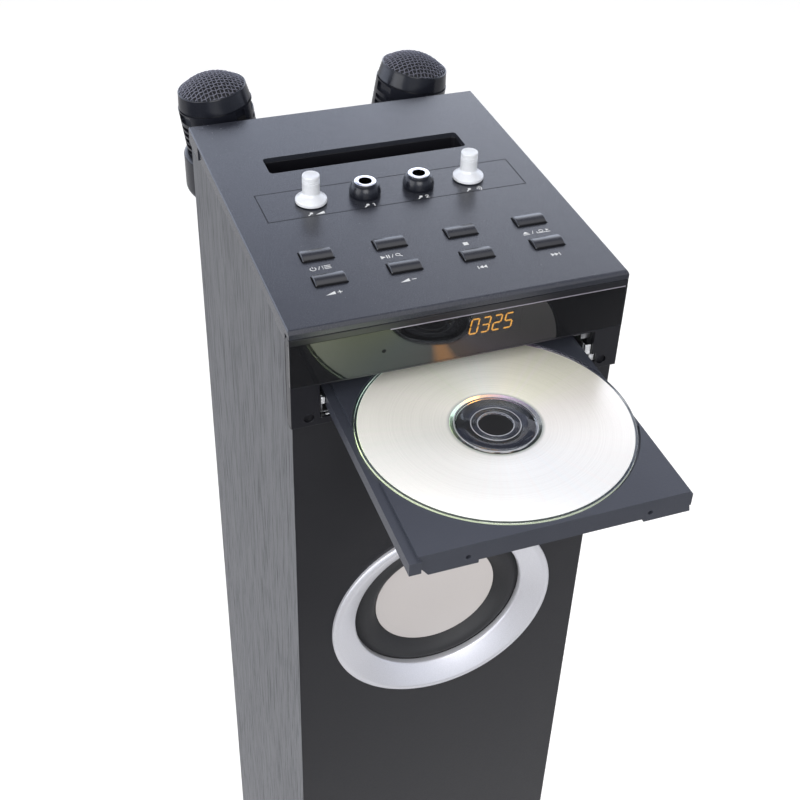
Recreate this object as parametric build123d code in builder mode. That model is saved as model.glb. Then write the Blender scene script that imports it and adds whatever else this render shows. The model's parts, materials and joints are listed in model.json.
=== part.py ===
from build123d import *
import os
from math import acos, asin, cos, degrees, pi, radians, sin, sqrt, tan

# Karaoke tower with a disc tray. Millimetres; +X to the right, +Y to the back, +Z up.
# The origin is on the floor, under the centre of the base plate.

# ---------------------------------------------------------------- driving dimensions
# Whole tower
TOP = 900.0                  # floor to the top face of the moulded head
FRONT = -72.0                # y of the fascia's front face
HEAD_WIDTH = 157.0           # moulded cover and fascia
HEAD_DEPTH = 188.5
COLUMN_WIDTH = 155.0         # wooden column
FASCIA_PROUD = 2.5           # fascia stands this far in front of the wooden front
BOARD = 9.0                  # fibreboard of the column
FIT = 0.3                    # gap between moulded and wooden pieces

# Base
PLATE_WIDTH = 230.0
PLATE_DEPTH = 280.0
PLATE_THICKNESS = 15.0
PLATE_CORNER = 8.0
PLATE_BEVEL = 2.0
FOOT_HEIGHT = 4.0
FOOT_RADIUS = 11.0
FOOT_INSET = 20.0            # foot centre to the plate's edges

# Head cover
COVER_WALL = 2.5
COVER_SKIRT = 8.5            # height of the cover at its sides and back
COVER_LIP = 3.7              # height of the cover at its front, above the fascia
COVER_BEVEL_BACK = 2.5
COVER_BEVEL_DOWN = 1.2
COVER_EDGE = 0.6
RELIEF_DEPTH = 0.7           # the side skirts are relieved between their two ends
RELIEF_START = 22.0
RELIEF_END = 168.0
RELIEF_TOP = 1.2

# Fascia
FASCIA_HEIGHT = 51.6         # top face to the fascia's bottom edge
FASCIA_TOP = 4.0             # top face to the seam above the fascia
CHEEK_DEPTH = 6.0
CHEEK_CORNER = 4.0
CHEEK_WALL = 1.6
CARRIER_WALL = 4.0           # fascia front to the back of the wall behind the window
WINDOW_TOP = 7.2
WINDOW_BOTTOM = 29.0
WINDOW_THICKNESS = 2.0
DISPLAY_X = 12.8             # centre of the numerals
DISPLAY_DROP = 15.0
DISPLAY_WIDTH = 30.0
DISPLAY_HEIGHT = 13.0
SLOT_TOP = 30.0              # tray slot, below the top face
SLOT_BOTTOM = 48.0
SLOT_HALF = 65.4
SLOT_NOTCH = 67.6            # the slot is wider at its lower right corner
SLOT_NOTCH_TOP = 43.0
SCREW_X = 70.5
SCREW_DROP = 47.0
SCREW_HEAD_RADIUS = 2.3
SCREW_SHANK_RADIUS = 1.2
SCREW_LENGTH = 14.0
SCREW_RECESS = 1.2

# Tablet slot in the cover
TABLET_X = 0.5
TABLET_WIDTH = 103.0
TABLET_FRONT = 130.0
TABLET_GAP = 15.5
TABLET_CORNER = 2.0
POCKET_DEPTH = 26.0
POCKET_WALL = 1.6

# Push buttons
BUTTON_COLUMNS = (-50.7, -16.1, 18.5, 53.1)
BUTTON_REAR_ROW = 53.3
BUTTON_FRONT_ROW = 33.2
BUTTON_WIDTH = 14.7
BUTTON_DEPTH = 8.3
BUTTON_EDGE_HEIGHT = 0.9
BUTTON_HEIGHT = 2.0
BUTTON_TRAVEL = 0.8
BUTTON_GAP = 0.25
BUTTON_FLANGE = 1.0

# Knobs, potentiometers and jacks
CONTROL_ROW = 98.8
KNOB_COLUMNS = (-39.5, 40.5)
KNOB_HEIGHT = 14.6
KNOB_BASE_RADIUS = 7.6
KNOB_STEM_RADIUS = 4.15
KNOB_FLARE_HEIGHT = 4.6
KNOB_FLARE_WAIST = 1.35      # beyond the stem, half way up the flare
KNOB_CROWN = 4.0             # solid above the shaft's bore
KNOB_GAP = 0.5
SHAFT_RADIUS = 3.0
SHAFT_FIT = 0.05
POT_RADIUS = 8.0
POT_HEIGHT = 7.0
POT_NECK_RADIUS = 3.6
JACK_COLUMNS = (-12.7, 14.5)
JACK_BORE = 3.25
JACK_BORE_DEPTH = 28.0
JACK_NECK_RADIUS = 5.2
JACK_NECK_TOP = 7.0
JACK_BODY = 16.0
JACK_BODY_DEPTH = 24.0
BUSHING_RADIUS = 7.7
BUSHING_TOP_RADIUS = 6.9
BUSHING_HEIGHT = 6.5

# Control board
BOARD_DEPTH_BELOW = 12.0     # top face to the circuit board
PCB = 1.6
PCB_HALF_WIDTH = 66.0
PCB_FRONT = 16.0
PCB_BACK = 112.0
POST_RADIUS = 3.0
SWITCH_SIZE = 6.0
SWITCH_HEIGHT = 4.4

# Disc and tray
DISC_RADIUS = 60.0
DISC_HOLE = 7.5
DISC_THICKNESS = 1.2
DISC_Y = -39.4               # disc centre behind the fascia's face, tray open
TRAY_TRAVEL = 105.0
TRAY_TOP = 36.4              # top face to the tray's rim
TRAY_HALF = 58.2
TRAY_FRONT = -102.5
TRAY_LENGTH = 157.0
TRAY_FLOOR = 4.0             # rim to underside
DISC_RECESS = 1.4
DISC_GAP = 0.1
RECESS_CLEARANCE = 0.9
SMALL_RECESS_RADIUS = 41.0   # step for 80 mm discs
SMALL_RECESS = 1.0
WELL_GAP = 3.0               # tray well round the turntable
WELL_LENGTH = 68.0
WELL_WIDTH = 34.0
RAIL_LEFT = 4.0              # side rails, lower than the rim
RAIL_RIGHT = 1.4
RAIL_HOOK = 4.0              # the right rail is wider at its rear end, under the lip
RAIL_HOOK_LENGTH = 40.0
RAIL_DROP = 1.5
RAIL_HEIGHT = 6.1
FLANGE_THICKNESS = 2.0
FLANGE_LEFT = -56.8
FLANGE_RIGHT = 59.6
FLANGE_MIDDLE = 9.3          # rim to the flange's lower edge
FLANGE_TAB = 10.9
TAB_LEFT_END = -33.0
TAB_RIGHT_START = 38.5
FLANGE_HOLE_RADIUS = 1.1
FLANGE_HOLE_DROP = 6.5
FLANGE_HOLE_LEFT = -37.5
FLANGE_HOLE_RIGHT = 41.0

# Loader mechanism
MODULE = 1.0
PRESSURE_ANGLE = 20.0
ADDENDUM = 0.7
DEDENDUM = 1.0
BACKLASH = 0.14              # taken off each tooth
RACK_X = -51.0               # pitch line of the rack
RACK_BODY = 5.0
RACK_OVERRUN = 6.0           # rack beyond the gear at both ends of the travel
RACK_DEPTH = 5.6             # rack height under the tray
TRAY_GEAR_TEETH = 24
PINION_TEETH = 12
GEAR_Y = 25.0
PINION_DIRECTION = 60.0
GEAR_BOTTOM = 52.0           # top face to the tray gear's underside
PINION_TOP = 46.7
PULLEY_TOP = 52.6
PULLEY_HEIGHT = 5.6
PULLEY_RADIUS = 14.0
MOTOR_PULLEY_RADIUS = 4.0
GROOVE = 1.6
BELT = 1.2
BELT_GAP = 0.3
MOTOR_X = 1.0
MOTOR_Y = 30.0
MOTOR_RADIUS = 11.5
MOTOR_TOP = 60.5
SPINDLE_SINK = 5.0           # the pulley spindle reaches this far into the motor
SPINDLE_END_GAP = 0.5
AXLE_RADIUS = 2.0
AXLE_FIT = 0.05
BOSS_WALL = 1.2

CHASSIS_HALF = 65.4
CHASSIS_WALL = 2.2
CHASSIS_FRONT = 12.0
CHASSIS_BACK = 165.0
CHASSIS_TOP = 33.0
CHASSIS_FLOOR_TOP = 72.0
CHASSIS_FLOOR = 2.0
LEDGE_THICKNESS = 1.7
SLIDE_GAP = 0.3
LEDGE_LEFT = 57.0
LEDGE_RIGHT = 55.0
LIP_REACH = 2.7
LIP_THICKNESS = 1.8

TURNTABLE_RADIUS = 15.0
TURNTABLE_TOP = 47.0
TURNTABLE_THICKNESS = 3.0
CENTRING_RADIUS = 7.3
CENTRING_HEIGHT = 2.2
SPINDLE_RADIUS = 1.0
SPINDLE_MOTOR_RADIUS = 11.0
SPINDLE_MOTOR_HEIGHT = 9.0
TRAVERSE_TOP = 55.0
TRAVERSE_THICKNESS = 3.0
TRAVERSE_HALF = 31.0
TRAVERSE_FRONT = 56.5
TRAVERSE_BACK = 146.0
WINDOW_HALF = 24.0
PICKUP_START = 78.0
PICKUP_LENGTH = 20.0
PICKUP_HALF = 22.0
PICKUP_TRAVEL = 38.0
PICKUP_TOP = 51.5
PICKUP_HEIGHT = 9.5
LENS_RADIUS = 4.0
ROD_RADIUS = 1.5
ROD_X = 19.0
SUPPORT_X = 27.0
SUPPORT_INSET = 4.0

BRIDGE_THICKNESS = 1.2
BRIDGE_HALF_DEPTH = 17.0
PUCK_HOLE = 9.0
PUCK_NECK = 8.5
PUCK_RADIUS = 13.5
PUCK_CAP_RADIUS = 11.5
PUCK_CAP = 1.6
PUCK_FLANGE = 1.4
PUCK_DROP = 2.6

STEEL = 0.8                  # sheet of the guide brackets
BRACKET_FRONT = 2.8
BRACKET_TOP = 38.0
BRACKET_BOTTOM = 47.6
BRACKET_FOOT = 6.0
BRACKET_LEFT = -64.4
BRACKET_RIGHT = 61.5
TAB_START = 58.0
TAB_END = 64.6
TAB_TOP = 30.4
TAB_BOTTOM = 35.2
TAB_FRONT = 6.0

# Drivers
DRIVER_DROPS = {"upper": 195.0, "lower": 520.0}
RING_RADIUS = 60.0
RING_THROAT = 46.0
RING_BEVEL = 2.0
RING_DEPTH = 7.0             # front of the ring to the bottom of its conical throat
RING_WALL = 2.0
CUTOUT_RADIUS = 54.0
SURROUND_INNER = 33.0
SURROUND_LIP = 1.2
CONE_DISH = 4.5
CONE_SINK = 13.0             # fascia front plane to the edge of the cone
CONE_THICKNESS = 1.2
COIL_RADIUS = 12.7
COIL_LENGTH = 13.0
COIL_WALL = 0.6
FLANGE_RADIUS = 61.0
BASKET_DEPTH = 30.0
MAGNET_RADIUS = 35.0
MAGNET_HEIGHT = 16.0
MAGNET_SHOULDER = 6.0        # the basket meets the magnet inside its edge
DRIVER_SHEET = 1.5

# Microphones and their holders
MIC_BACK = 216.2             # rim centre behind the fascia's face
MIC_X = {"left": -59.4, "right": 55.2}
MIC_RISE = {"left": 7.0, "right": 4.9}      # rim centre above the top face
LEAN_OUT = {"left": -7.6, "right": 9.5}     # towards +X, in degrees
LEAN_FORWARD = {"left": -2.7, "right": -0.3}
RIM_RADIUS = 18.2
DOME_HEIGHT = 7.7
MESH = 1.2
COLLAR_RADIUS = 19.4
COLLAR_HEIGHT = 7.4
COLLAR_GROOVE = 0.8          # height of the groove between collar and neck
GROOVE_SINK = 0.6
NECK_RADIUS = 19.8
NECK_LENGTH = 26.0           # the straight part that carries the vents
NECK_TAPER = 12.0            # from the neck down to the grip
GRIP_RADIUS = 17.4
TAIL_RADIUS = 12.0
MIC_LENGTH = 158.0
HEAD_WALL = 3.0
HEAD_CAVITY = 13.0
HOLDER_TOP = 29.0            # below the top face
HOLDER_HEIGHT = 25.0
HOLDER_RADIUS = 24.0
HOLDER_ROUND = 6.0
HOLDER_LIP = 2.0             # rounding of the upper edge
HOLDER_OVERLAP = 4.0         # the arm runs this far into the cup
BORE_OVERRUN = 5.0
HOLDER_PLATE = 3.0
HOLDER_PLATE_WIDTH = 30.0
HOLDER_PLATE_HEIGHT = 44.0
HOLDER_ARM = 16.0
SEAT_GAP = 0.3
VENT_TURNS = (197.0, 348.0)  # middle of each column of vents, round the microphone
WINDOW_VENT_DROP = 11.4      # the top vent of each column is taller
WINDOW_VENT_HEIGHT = 5.2
VENT_START = 17.3
VENT_ROWS = 5
VENT_PITCH = 3.5
VENT_WIDTH = 12.0
VENT_HEIGHT = 2.2
VENT_DEPTH = 2.2
VENT_CORNER = 1.0
SWITCH_DROP = 13.0
SWITCH_TURN = {"left": 300.0, "right": 120.0}
SWITCH_RECESS = 1.6
SWITCH_PLATE_WIDTH = 6.0
SLIDER_HEIGHT = 4.0
SLIDER_TRAVEL = 3.0
SLIDER_MARGIN = 0.8
SWITCH_PLATE_HEIGHT = SLIDER_HEIGHT + SLIDER_TRAVEL + 2 * SLIDER_MARGIN

# Back of the tower
INLET_HEIGHT = 110.0         # centre above the floor
INLET_WIDTH = 27.0
INLET_TALL = 16.0
INLET_FRAME = 3.0
INLET_DEPTH = 17.0
INLET_SOCKET = 12.0
AMP_TOP = 110.0              # top face to the amplifier board
AMP_HEIGHT = 100.0
AMP_WIDTH = 110.0
AMP_STANDOFF = 8.0
AMP_POST_INSET = 6.0
TRANSFORMER = (42.0, 30.0, 36.0)
TRANSFORMER_LEFT = -46.0
HEAT_SINK = (36.0, 22.0, 12.0)
HEAT_SINK_LEFT = 10.0
HEAT_SINK_RISE = 50.0        # above the board's lower edge
TRANSFORMER_RISE = 8.0
PIN_SPREAD = 3.4             # half the distance between the inlet's pins
PIN_RADIUS = 1.2
PIN_LENGTH = 9.0
SOCKET_RADIUS = 4.6

# ---------------------------------------------------------------- derived sizes
PLATE_TOP = FOOT_HEIGHT + PLATE_THICKNESS
HALF_HEAD = HEAD_WIDTH / 2
HALF_COLUMN = COLUMN_WIDTH / 2
INNER_HALF = HALF_COLUMN - BOARD
WOOD_FRONT = FRONT + FASCIA_PROUD
WOOD_BACK = FRONT + HEAD_DEPTH
INNER_FRONT = WOOD_FRONT + BOARD
INNER_BACK = WOOD_BACK - BOARD
SIDE_TOP = TOP - COVER_SKIRT - FIT
BAFFLE_TOP = TOP - FASCIA_HEIGHT - FIT
CHEEK_BACK = FRONT + CHEEK_DEPTH
PCB_TOP = TOP - BOARD_DEPTH_BELOW
CONTROL_Y = FRONT + CONTROL_ROW
TABLET_Y = FRONT + TABLET_FRONT + TABLET_GAP / 2
SPINDLE_Y = FRONT + DISC_Y + TRAY_TRAVEL
TRAY_RIM = TOP - TRAY_TOP
TRAY_BOTTOM = TRAY_RIM - TRAY_FLOOR
RAIL_BOTTOM = TRAY_RIM - RAIL_DROP - RAIL_HEIGHT
SHELF_TOP = TOP - CHASSIS_FLOOR_TOP - CHASSIS_FLOOR
GEAR_RADIUS = MODULE * TRAY_GEAR_TEETH / 2
PINION_RADIUS = MODULE * PINION_TEETH / 2
GEAR_X = RACK_X + GEAR_RADIUS
GEAR_PLACE = (GEAR_X, FRONT + GEAR_Y)
MESH_DISTANCE = GEAR_RADIUS + PINION_RADIUS
PINION_PLACE = (
    GEAR_PLACE[0] + MESH_DISTANCE * cos(radians(PINION_DIRECTION)),
    GEAR_PLACE[1] + MESH_DISTANCE * sin(radians(PINION_DIRECTION)),
)
MOTOR_PLACE = (MOTOR_X, FRONT + MOTOR_Y)
CHASSIS_FLOOR_Z = TOP - CHASSIS_FLOOR_TOP
BRIDGE_BOTTOM = TOP - CHASSIS_TOP
BUTTONS = {
    "button_power": (BUTTON_COLUMNS[0], BUTTON_REAR_ROW),
    "button_play": (BUTTON_COLUMNS[1], BUTTON_REAR_ROW),
    "button_stop": (BUTTON_COLUMNS[2], BUTTON_REAR_ROW),
    "button_eject": (BUTTON_COLUMNS[3], BUTTON_REAR_ROW),
    "button_plus": (BUTTON_COLUMNS[0], BUTTON_FRONT_ROW),
    "button_minus": (BUTTON_COLUMNS[1], BUTTON_FRONT_ROW),
    "button_previous": (BUTTON_COLUMNS[2], BUTTON_FRONT_ROW),
    "button_next": (BUTTON_COLUMNS[3], BUTTON_FRONT_ROW),
}
BUTTON_PLACES = [(x, FRONT + row) for x, row in BUTTONS.values()]
KNOB_PLACES = [(x, CONTROL_Y) for x in KNOB_COLUMNS]
JACK_PLACES = [(x, CONTROL_Y) for x in JACK_COLUMNS]
SIDES = {"left": -1, "right": 1}

os.makedirs("parts", exist_ok=True)


def cap_height(rim_radius, rise, radius):
    """Height of a spherical cap above its rim, at a radius from its axis."""
    sphere = (rim_radius**2 + rise**2) / (2 * rise)
    return sqrt(sphere**2 - radius**2) - (sphere - rise)


def save(part, name):
    """Labels a finished piece and writes its STEP file."""
    part.label = name
    export_step(part, f"parts/{name}.step")


def fill(x, y, z, mode=Mode.ADD):
    """Adds a block between two x, two y and two z positions to the piece being built."""
    with Locations(((x[0] + x[1]) / 2, (y[0] + y[1]) / 2, (z[0] + z[1]) / 2)):
        Box(x[1] - x[0], y[1] - y[0], z[1] - z[0], mode=mode)


def post(place, radius, bottom, top, mode=Mode.ADD):
    """Adds an upright round post or bore at an (x, y) place."""
    with Locations((place[0], place[1], (bottom + top) / 2)):
        Cylinder(radius, top - bottom, mode=mode)


# ---------------------------------------------------------------- wooden column and base
with BuildPart() as base_plate:
    with BuildSketch(Plane.XY.offset(FOOT_HEIGHT)):
        RectangleRounded(PLATE_WIDTH, PLATE_DEPTH, PLATE_CORNER)
    extrude(amount=PLATE_THICKNESS)
    chamfer(base_plate.faces().sort_by(Axis.Z)[-1].edges(), PLATE_BEVEL)
save(base_plate.part, "base_plate")

with BuildPart() as rubber_feet:
    with BuildSketch():
        with GridLocations(PLATE_WIDTH - 2 * FOOT_INSET, PLATE_DEPTH - 2 * FOOT_INSET, 2, 2):
            Circle(FOOT_RADIUS)
    extrude(amount=FOOT_HEIGHT)
    chamfer(rubber_feet.faces().group_by(Axis.Z)[0].edges(), FOOT_HEIGHT / 4)
save(rubber_feet.part, "rubber_feet")

with BuildPart() as bottom_panel:
    fill((-INNER_HALF, INNER_HALF), (INNER_FRONT, INNER_BACK), (PLATE_TOP, PLATE_TOP + BOARD))
save(bottom_panel.part, "bottom_panel")

# The front and side boards are folded from one grooved sheet, so they meet in mitres.
with BuildPart() as side_panel_right:
    with BuildSketch(Plane.XY.offset(PLATE_TOP)):
        with BuildLine():
            Polyline(
                (HALF_COLUMN, WOOD_FRONT),
                (HALF_COLUMN, WOOD_BACK),
                (INNER_HALF, WOOD_BACK),
                (INNER_HALF, INNER_FRONT),
                close=True,
            )
        make_face()
    extrude(amount=SIDE_TOP - PLATE_TOP)
    with BuildSketch(Plane.YZ) as cheek_notch:
        with BuildLine():
            notch_back = CHEEK_BACK + FIT
            notch_low = BAFFLE_TOP
            FilletPolyline(
                (WOOD_FRONT - BOARD, SIDE_TOP + BOARD),
                (notch_back, SIDE_TOP + BOARD),
                (notch_back, notch_low),
                (WOOD_FRONT - BOARD, notch_low),
                radius=(CHEEK_CORNER / 4, CHEEK_CORNER, CHEEK_CORNER / 4, CHEEK_CORNER / 4),
                close=True,
            )
        make_face()
    extrude(amount=HEAD_WIDTH, mode=Mode.SUBTRACT)
    with Locations(Location((SCREW_X, notch_back, TOP - SCREW_DROP), (90, 0, 0))):
        Hole(SCREW_SHANK_RADIUS, SCREW_LENGTH)
save(side_panel_right.part, "side_panel_right")

with BuildPart() as side_panel_left:
    mirror(side_panel_right.part, about=Plane.YZ)
save(side_panel_left.part, "side_panel_left")

with BuildPart() as back_panel:
    fill((-INNER_HALF, INNER_HALF), (INNER_BACK, WOOD_BACK), (PLATE_TOP, SIDE_TOP))
    fill(
        (-INLET_WIDTH / 2, INLET_WIDTH / 2),
        (INNER_BACK - BOARD, WOOD_BACK + BOARD),
        (INLET_HEIGHT - INLET_TALL / 2, INLET_HEIGHT + INLET_TALL / 2),
        Mode.SUBTRACT,
    )
save(back_panel.part, "back_panel")

with BuildPart() as front_baffle:
    with BuildSketch(Plane.XY.offset(PLATE_TOP)):
        with BuildLine():
            Polyline(
                (-HALF_COLUMN, WOOD_FRONT),
                (HALF_COLUMN, WOOD_FRONT),
                (INNER_HALF, INNER_FRONT),
                (-INNER_HALF, INNER_FRONT),
                close=True,
            )
        make_face()
    extrude(amount=BAFFLE_TOP - PLATE_TOP)
    with BuildSketch(Plane.XZ):
        with Locations(*[(0, TOP - drop) for drop in DRIVER_DROPS.values()]):
            Circle(CUTOUT_RADIUS)
    extrude(amount=HEAD_DEPTH, both=True, mode=Mode.SUBTRACT)
save(front_baffle.part, "front_baffle")

with BuildPart() as loader_shelf:
    fill((-INNER_HALF, INNER_HALF), (INNER_FRONT, INNER_BACK), (SHELF_TOP - BOARD, SHELF_TOP))
save(loader_shelf.part, "loader_shelf")


# ---------------------------------------------------------------- moulded head
def cover_cutouts():
    """Cuts the tablet slot and the holes for buttons, shafts and jacks through the cover."""
    with BuildSketch(Plane.XY.offset(TOP)) as holes:
        with Locations((TABLET_X, TABLET_Y)):
            RectangleRounded(TABLET_WIDTH, TABLET_GAP, TABLET_CORNER)
        with Locations(*BUTTON_PLACES):
            Rectangle(BUTTON_WIDTH + 2 * BUTTON_GAP, BUTTON_DEPTH + 2 * BUTTON_GAP)
        with Locations(*KNOB_PLACES):
            Circle(POT_NECK_RADIUS + FIT)
        with Locations(*JACK_PLACES):
            Circle(JACK_NECK_RADIUS + FIT)
    extrude(holes.sketch, amount=-COVER_WALL - COVER_SKIRT, mode=Mode.SUBTRACT)


BOARD_POSTS = [
    (x * (PCB_HALF_WIDTH - 2 * POST_RADIUS), FRONT + y)
    for x in (-1, 1)
    for y in (PCB_FRONT + POST_RADIUS, PCB_BACK - POST_RADIUS)
]

with BuildPart() as top_cover:
    fill((-HALF_HEAD, HALF_HEAD), (FRONT, WOOD_BACK), (TOP - COVER_SKIRT, TOP))
    fill(
        (-HALF_HEAD + COVER_WALL, HALF_HEAD - COVER_WALL),
        (FRONT + COVER_WALL, WOOD_BACK - COVER_WALL),
        (TOP - COVER_SKIRT, TOP - COVER_WALL),
        Mode.SUBTRACT,
    )
    # the front stops short, over the fascia and its cheeks
    fill(
        (-HALF_HEAD, HALF_HEAD),
        (FRONT, CHEEK_BACK + FIT),
        (TOP - COVER_SKIRT, TOP - COVER_LIP),
        Mode.SUBTRACT,
    )
    front_edge = top_cover.edges().filter_by(Axis.X).group_by(Axis.Z)[-1].sort_by(Axis.Y)[0]
    bevel_face = top_cover.faces().sort_by(Axis.Z)[-1]
    chamfer(front_edge, COVER_BEVEL_BACK, COVER_BEVEL_DOWN, reference=bevel_face)
    side_edges = top_cover.edges().filter_by(Axis.Y).group_by(Axis.Z)[-1]
    chamfer(side_edges, COVER_EDGE)
    for side in (-1, 1):
        relief_face = side * HALF_HEAD
        fill(
            tuple(sorted((relief_face - side * RELIEF_DEPTH, relief_face + side))),
            (FRONT + RELIEF_START, FRONT + RELIEF_END),
            (TOP - COVER_SKIRT, TOP - RELIEF_TOP),
            Mode.SUBTRACT,
        )
    cover_cutouts()
    for place in BOARD_POSTS:
        post(place, POST_RADIUS, PCB_TOP, TOP - COVER_WALL)
save(top_cover.part, "top_cover")

with BuildPart() as tablet_pocket:
    with BuildSketch(Plane.XY.offset(TOP - COVER_WALL)):
        with Locations((TABLET_X, TABLET_Y)):
            RectangleRounded(
                TABLET_WIDTH + 2 * POCKET_WALL, TABLET_GAP + 2 * POCKET_WALL, TABLET_CORNER
            )
    extrude(amount=COVER_WALL - POCKET_DEPTH)
    with BuildSketch(Plane.XY.offset(TOP)):
        with Locations((TABLET_X, TABLET_Y)):
            RectangleRounded(TABLET_WIDTH, TABLET_GAP, TABLET_CORNER)
    extrude(amount=POCKET_WALL - POCKET_DEPTH, mode=Mode.SUBTRACT)
save(tablet_pocket.part, "tablet_pocket")

with BuildPart() as front_fascia:
    # side outline with the rounded lower rear corner of the cheeks, carried across the head
    with BuildSketch(Plane.YZ.offset(-HALF_HEAD)):
        with BuildLine():
            FilletPolyline(
                (FRONT, TOP - FASCIA_TOP),
                (CHEEK_BACK, TOP - FASCIA_TOP),
                (CHEEK_BACK, TOP - FASCIA_HEIGHT),
                (FRONT, TOP - FASCIA_HEIGHT),
                radius=(0.3, CHEEK_CORNER, 0.3, 0.3),
                close=True,
            )
        make_face()
    extrude(amount=HEAD_WIDTH)
    # hollow back, a thicker wall behind the window
    fill(
        (-HALF_HEAD + CHEEK_WALL, HALF_HEAD - CHEEK_WALL),
        (FRONT + CARRIER_WALL, CHEEK_BACK),
        (TOP - FASCIA_HEIGHT + CHEEK_CORNER, TOP - FASCIA_TOP),
        Mode.SUBTRACT,
    )
    fill(
        (-INNER_HALF, INNER_HALF),
        (FRONT + COVER_WALL, CHEEK_BACK),
        (TOP - FASCIA_HEIGHT + COVER_WALL, TOP - WINDOW_BOTTOM - 1.0),
        Mode.SUBTRACT,
    )
    # rebate for the smoked window, and the opening behind the numerals
    fill(
        (-HALF_HEAD, HALF_HEAD),
        (FRONT, FRONT + WINDOW_THICKNESS + 0.1),
        (TOP - WINDOW_BOTTOM - 0.1, TOP - WINDOW_TOP + 0.1),
        Mode.SUBTRACT,
    )
    fill(
        (DISPLAY_X - DISPLAY_WIDTH / 2 - FIT, DISPLAY_X + DISPLAY_WIDTH / 2 + FIT),
        (FRONT, CHEEK_BACK),
        (
            TOP - DISPLAY_DROP - DISPLAY_HEIGHT / 2 - FIT,
            TOP - DISPLAY_DROP + DISPLAY_HEIGHT / 2 + FIT,
        ),
        Mode.SUBTRACT,
    )
    # tray slot with its wider lower right corner
    fill((-SLOT_HALF, SLOT_HALF), (FRONT, CHEEK_BACK), (TOP - SLOT_BOTTOM, TOP - SLOT_TOP), Mode.SUBTRACT)
    fill((0, SLOT_NOTCH), (FRONT, CHEEK_BACK), (TOP - SLOT_BOTTOM, TOP - SLOT_NOTCH_TOP), Mode.SUBTRACT)
    with Locations(
        *[Location((x, FRONT, TOP - SCREW_DROP), (90, 0, 0)) for x in (-SCREW_X, SCREW_X)]
    ):
        CounterBoreHole(SCREW_SHANK_RADIUS + FIT, SCREW_HEAD_RADIUS + 0.1, SCREW_RECESS + 1.0, CHEEK_DEPTH)
save(front_fascia.part, "front_fascia")

with BuildPart() as fascia_screws:
    # a pan head in the counterbore and a shank into the side board
    for screw_x in (-SCREW_X, SCREW_X):
        head_front = FRONT + SCREW_RECESS
        with BuildSketch(Plane(origin=(screw_x, head_front, TOP - SCREW_DROP), z_dir=(0, 1, 0))):
            Circle(SCREW_HEAD_RADIUS)
        extrude(amount=1.0)
        with BuildSketch(Plane(origin=(screw_x, head_front, TOP - SCREW_DROP), z_dir=(0, 1, 0))):
            Circle(SCREW_SHANK_RADIUS - SHAFT_FIT)
        extrude(amount=SCREW_LENGTH)
save(fascia_screws.part, "fascia_screws")

with BuildPart() as display_window:
    fill(
        (-HALF_HEAD, HALF_HEAD),
        (FRONT, FRONT + WINDOW_THICKNESS),
        (TOP - WINDOW_BOTTOM, TOP - WINDOW_TOP),
    )
save(display_window.part, "display_window")

with BuildPart() as display_module:
    # the numeral block reaches into the wall behind the window, its board lies on the wall's back
    fill(
        (DISPLAY_X - DISPLAY_WIDTH / 2, DISPLAY_X + DISPLAY_WIDTH / 2),
        (FRONT + WINDOW_THICKNESS + FIT, FRONT + CARRIER_WALL),
        (TOP - DISPLAY_DROP - DISPLAY_HEIGHT / 2, TOP - DISPLAY_DROP + DISPLAY_HEIGHT / 2),
    )
    fill(
        (-DISPLAY_WIDTH, DISPLAY_WIDTH + DISPLAY_X),
        (FRONT + CARRIER_WALL, FRONT + CARRIER_WALL + PCB),
        (TOP - WINDOW_BOTTOM + PCB, TOP - WINDOW_TOP - PCB),
    )
save(display_module.part, "display_module")

# ---------------------------------------------------------------- controls
with BuildPart() as control_board:
    fill(
        (-PCB_HALF_WIDTH, PCB_HALF_WIDTH),
        (FRONT + PCB_FRONT, FRONT + PCB_BACK),
        (PCB_TOP - PCB, PCB_TOP),
    )
    with BuildSketch(Plane.XY.offset(PCB_TOP)):
        with Locations(*JACK_PLACES):
            Rectangle(JACK_BODY + 2 * FIT, JACK_BODY + 2 * FIT)
    extrude(amount=-PCB, mode=Mode.SUBTRACT)
    with Locations(*[(x, y, PCB_TOP + SWITCH_HEIGHT / 2) for x, y in BUTTON_PLACES]):
        Box(SWITCH_SIZE, SWITCH_SIZE, SWITCH_HEIGHT)
save(control_board.part, "control_board")

for name, (column, row) in BUTTONS.items():
    place_y = FRONT + row
    flange_top = TOP - COVER_WALL - FIT
    with BuildPart() as button:
        # barrel-shaped cap: a low arch across the short way, drawn along the long way
        with BuildSketch(Plane.YZ.offset(column - BUTTON_WIDTH / 2)):
            with BuildLine():
                arch = ThreePointArc(
                    (place_y - BUTTON_DEPTH / 2, TOP + BUTTON_EDGE_HEIGHT),
                    (place_y, TOP + BUTTON_HEIGHT),
                    (place_y + BUTTON_DEPTH / 2, TOP + BUTTON_EDGE_HEIGHT),
                )
                Polyline(
                    arch @ 1,
                    (place_y + BUTTON_DEPTH / 2, flange_top),
                    (place_y - BUTTON_DEPTH / 2, flange_top),
                    arch @ 0,
                )
            make_face()
        extrude(amount=BUTTON_WIDTH)
        chamfer(button.edges().filter_by(GeomType.CIRCLE), 0.5)
        with Locations((column, place_y, flange_top - BUTTON_FLANGE / 2)):
            Box(BUTTON_WIDTH + 2.0, BUTTON_DEPTH + 2.0, BUTTON_FLANGE)
        stem_foot = PCB_TOP + SWITCH_HEIGHT + BUTTON_TRAVEL + FIT / 3
        post((column, place_y), 1.6, stem_foot, flange_top)
    save(button.part, name)

POT_TOP = PCB_TOP + POT_HEIGHT
with BuildPart() as pot_bodies:
    for place in KNOB_PLACES:
        post(place, POT_RADIUS, PCB_TOP, POT_TOP)
        post(place, POT_NECK_RADIUS, POT_TOP, TOP - FIT)
        post(place, SHAFT_RADIUS + SHAFT_FIT, PCB_TOP + 1.0, TOP, Mode.SUBTRACT)
save(pot_bodies.part, "pot_bodies")

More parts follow.
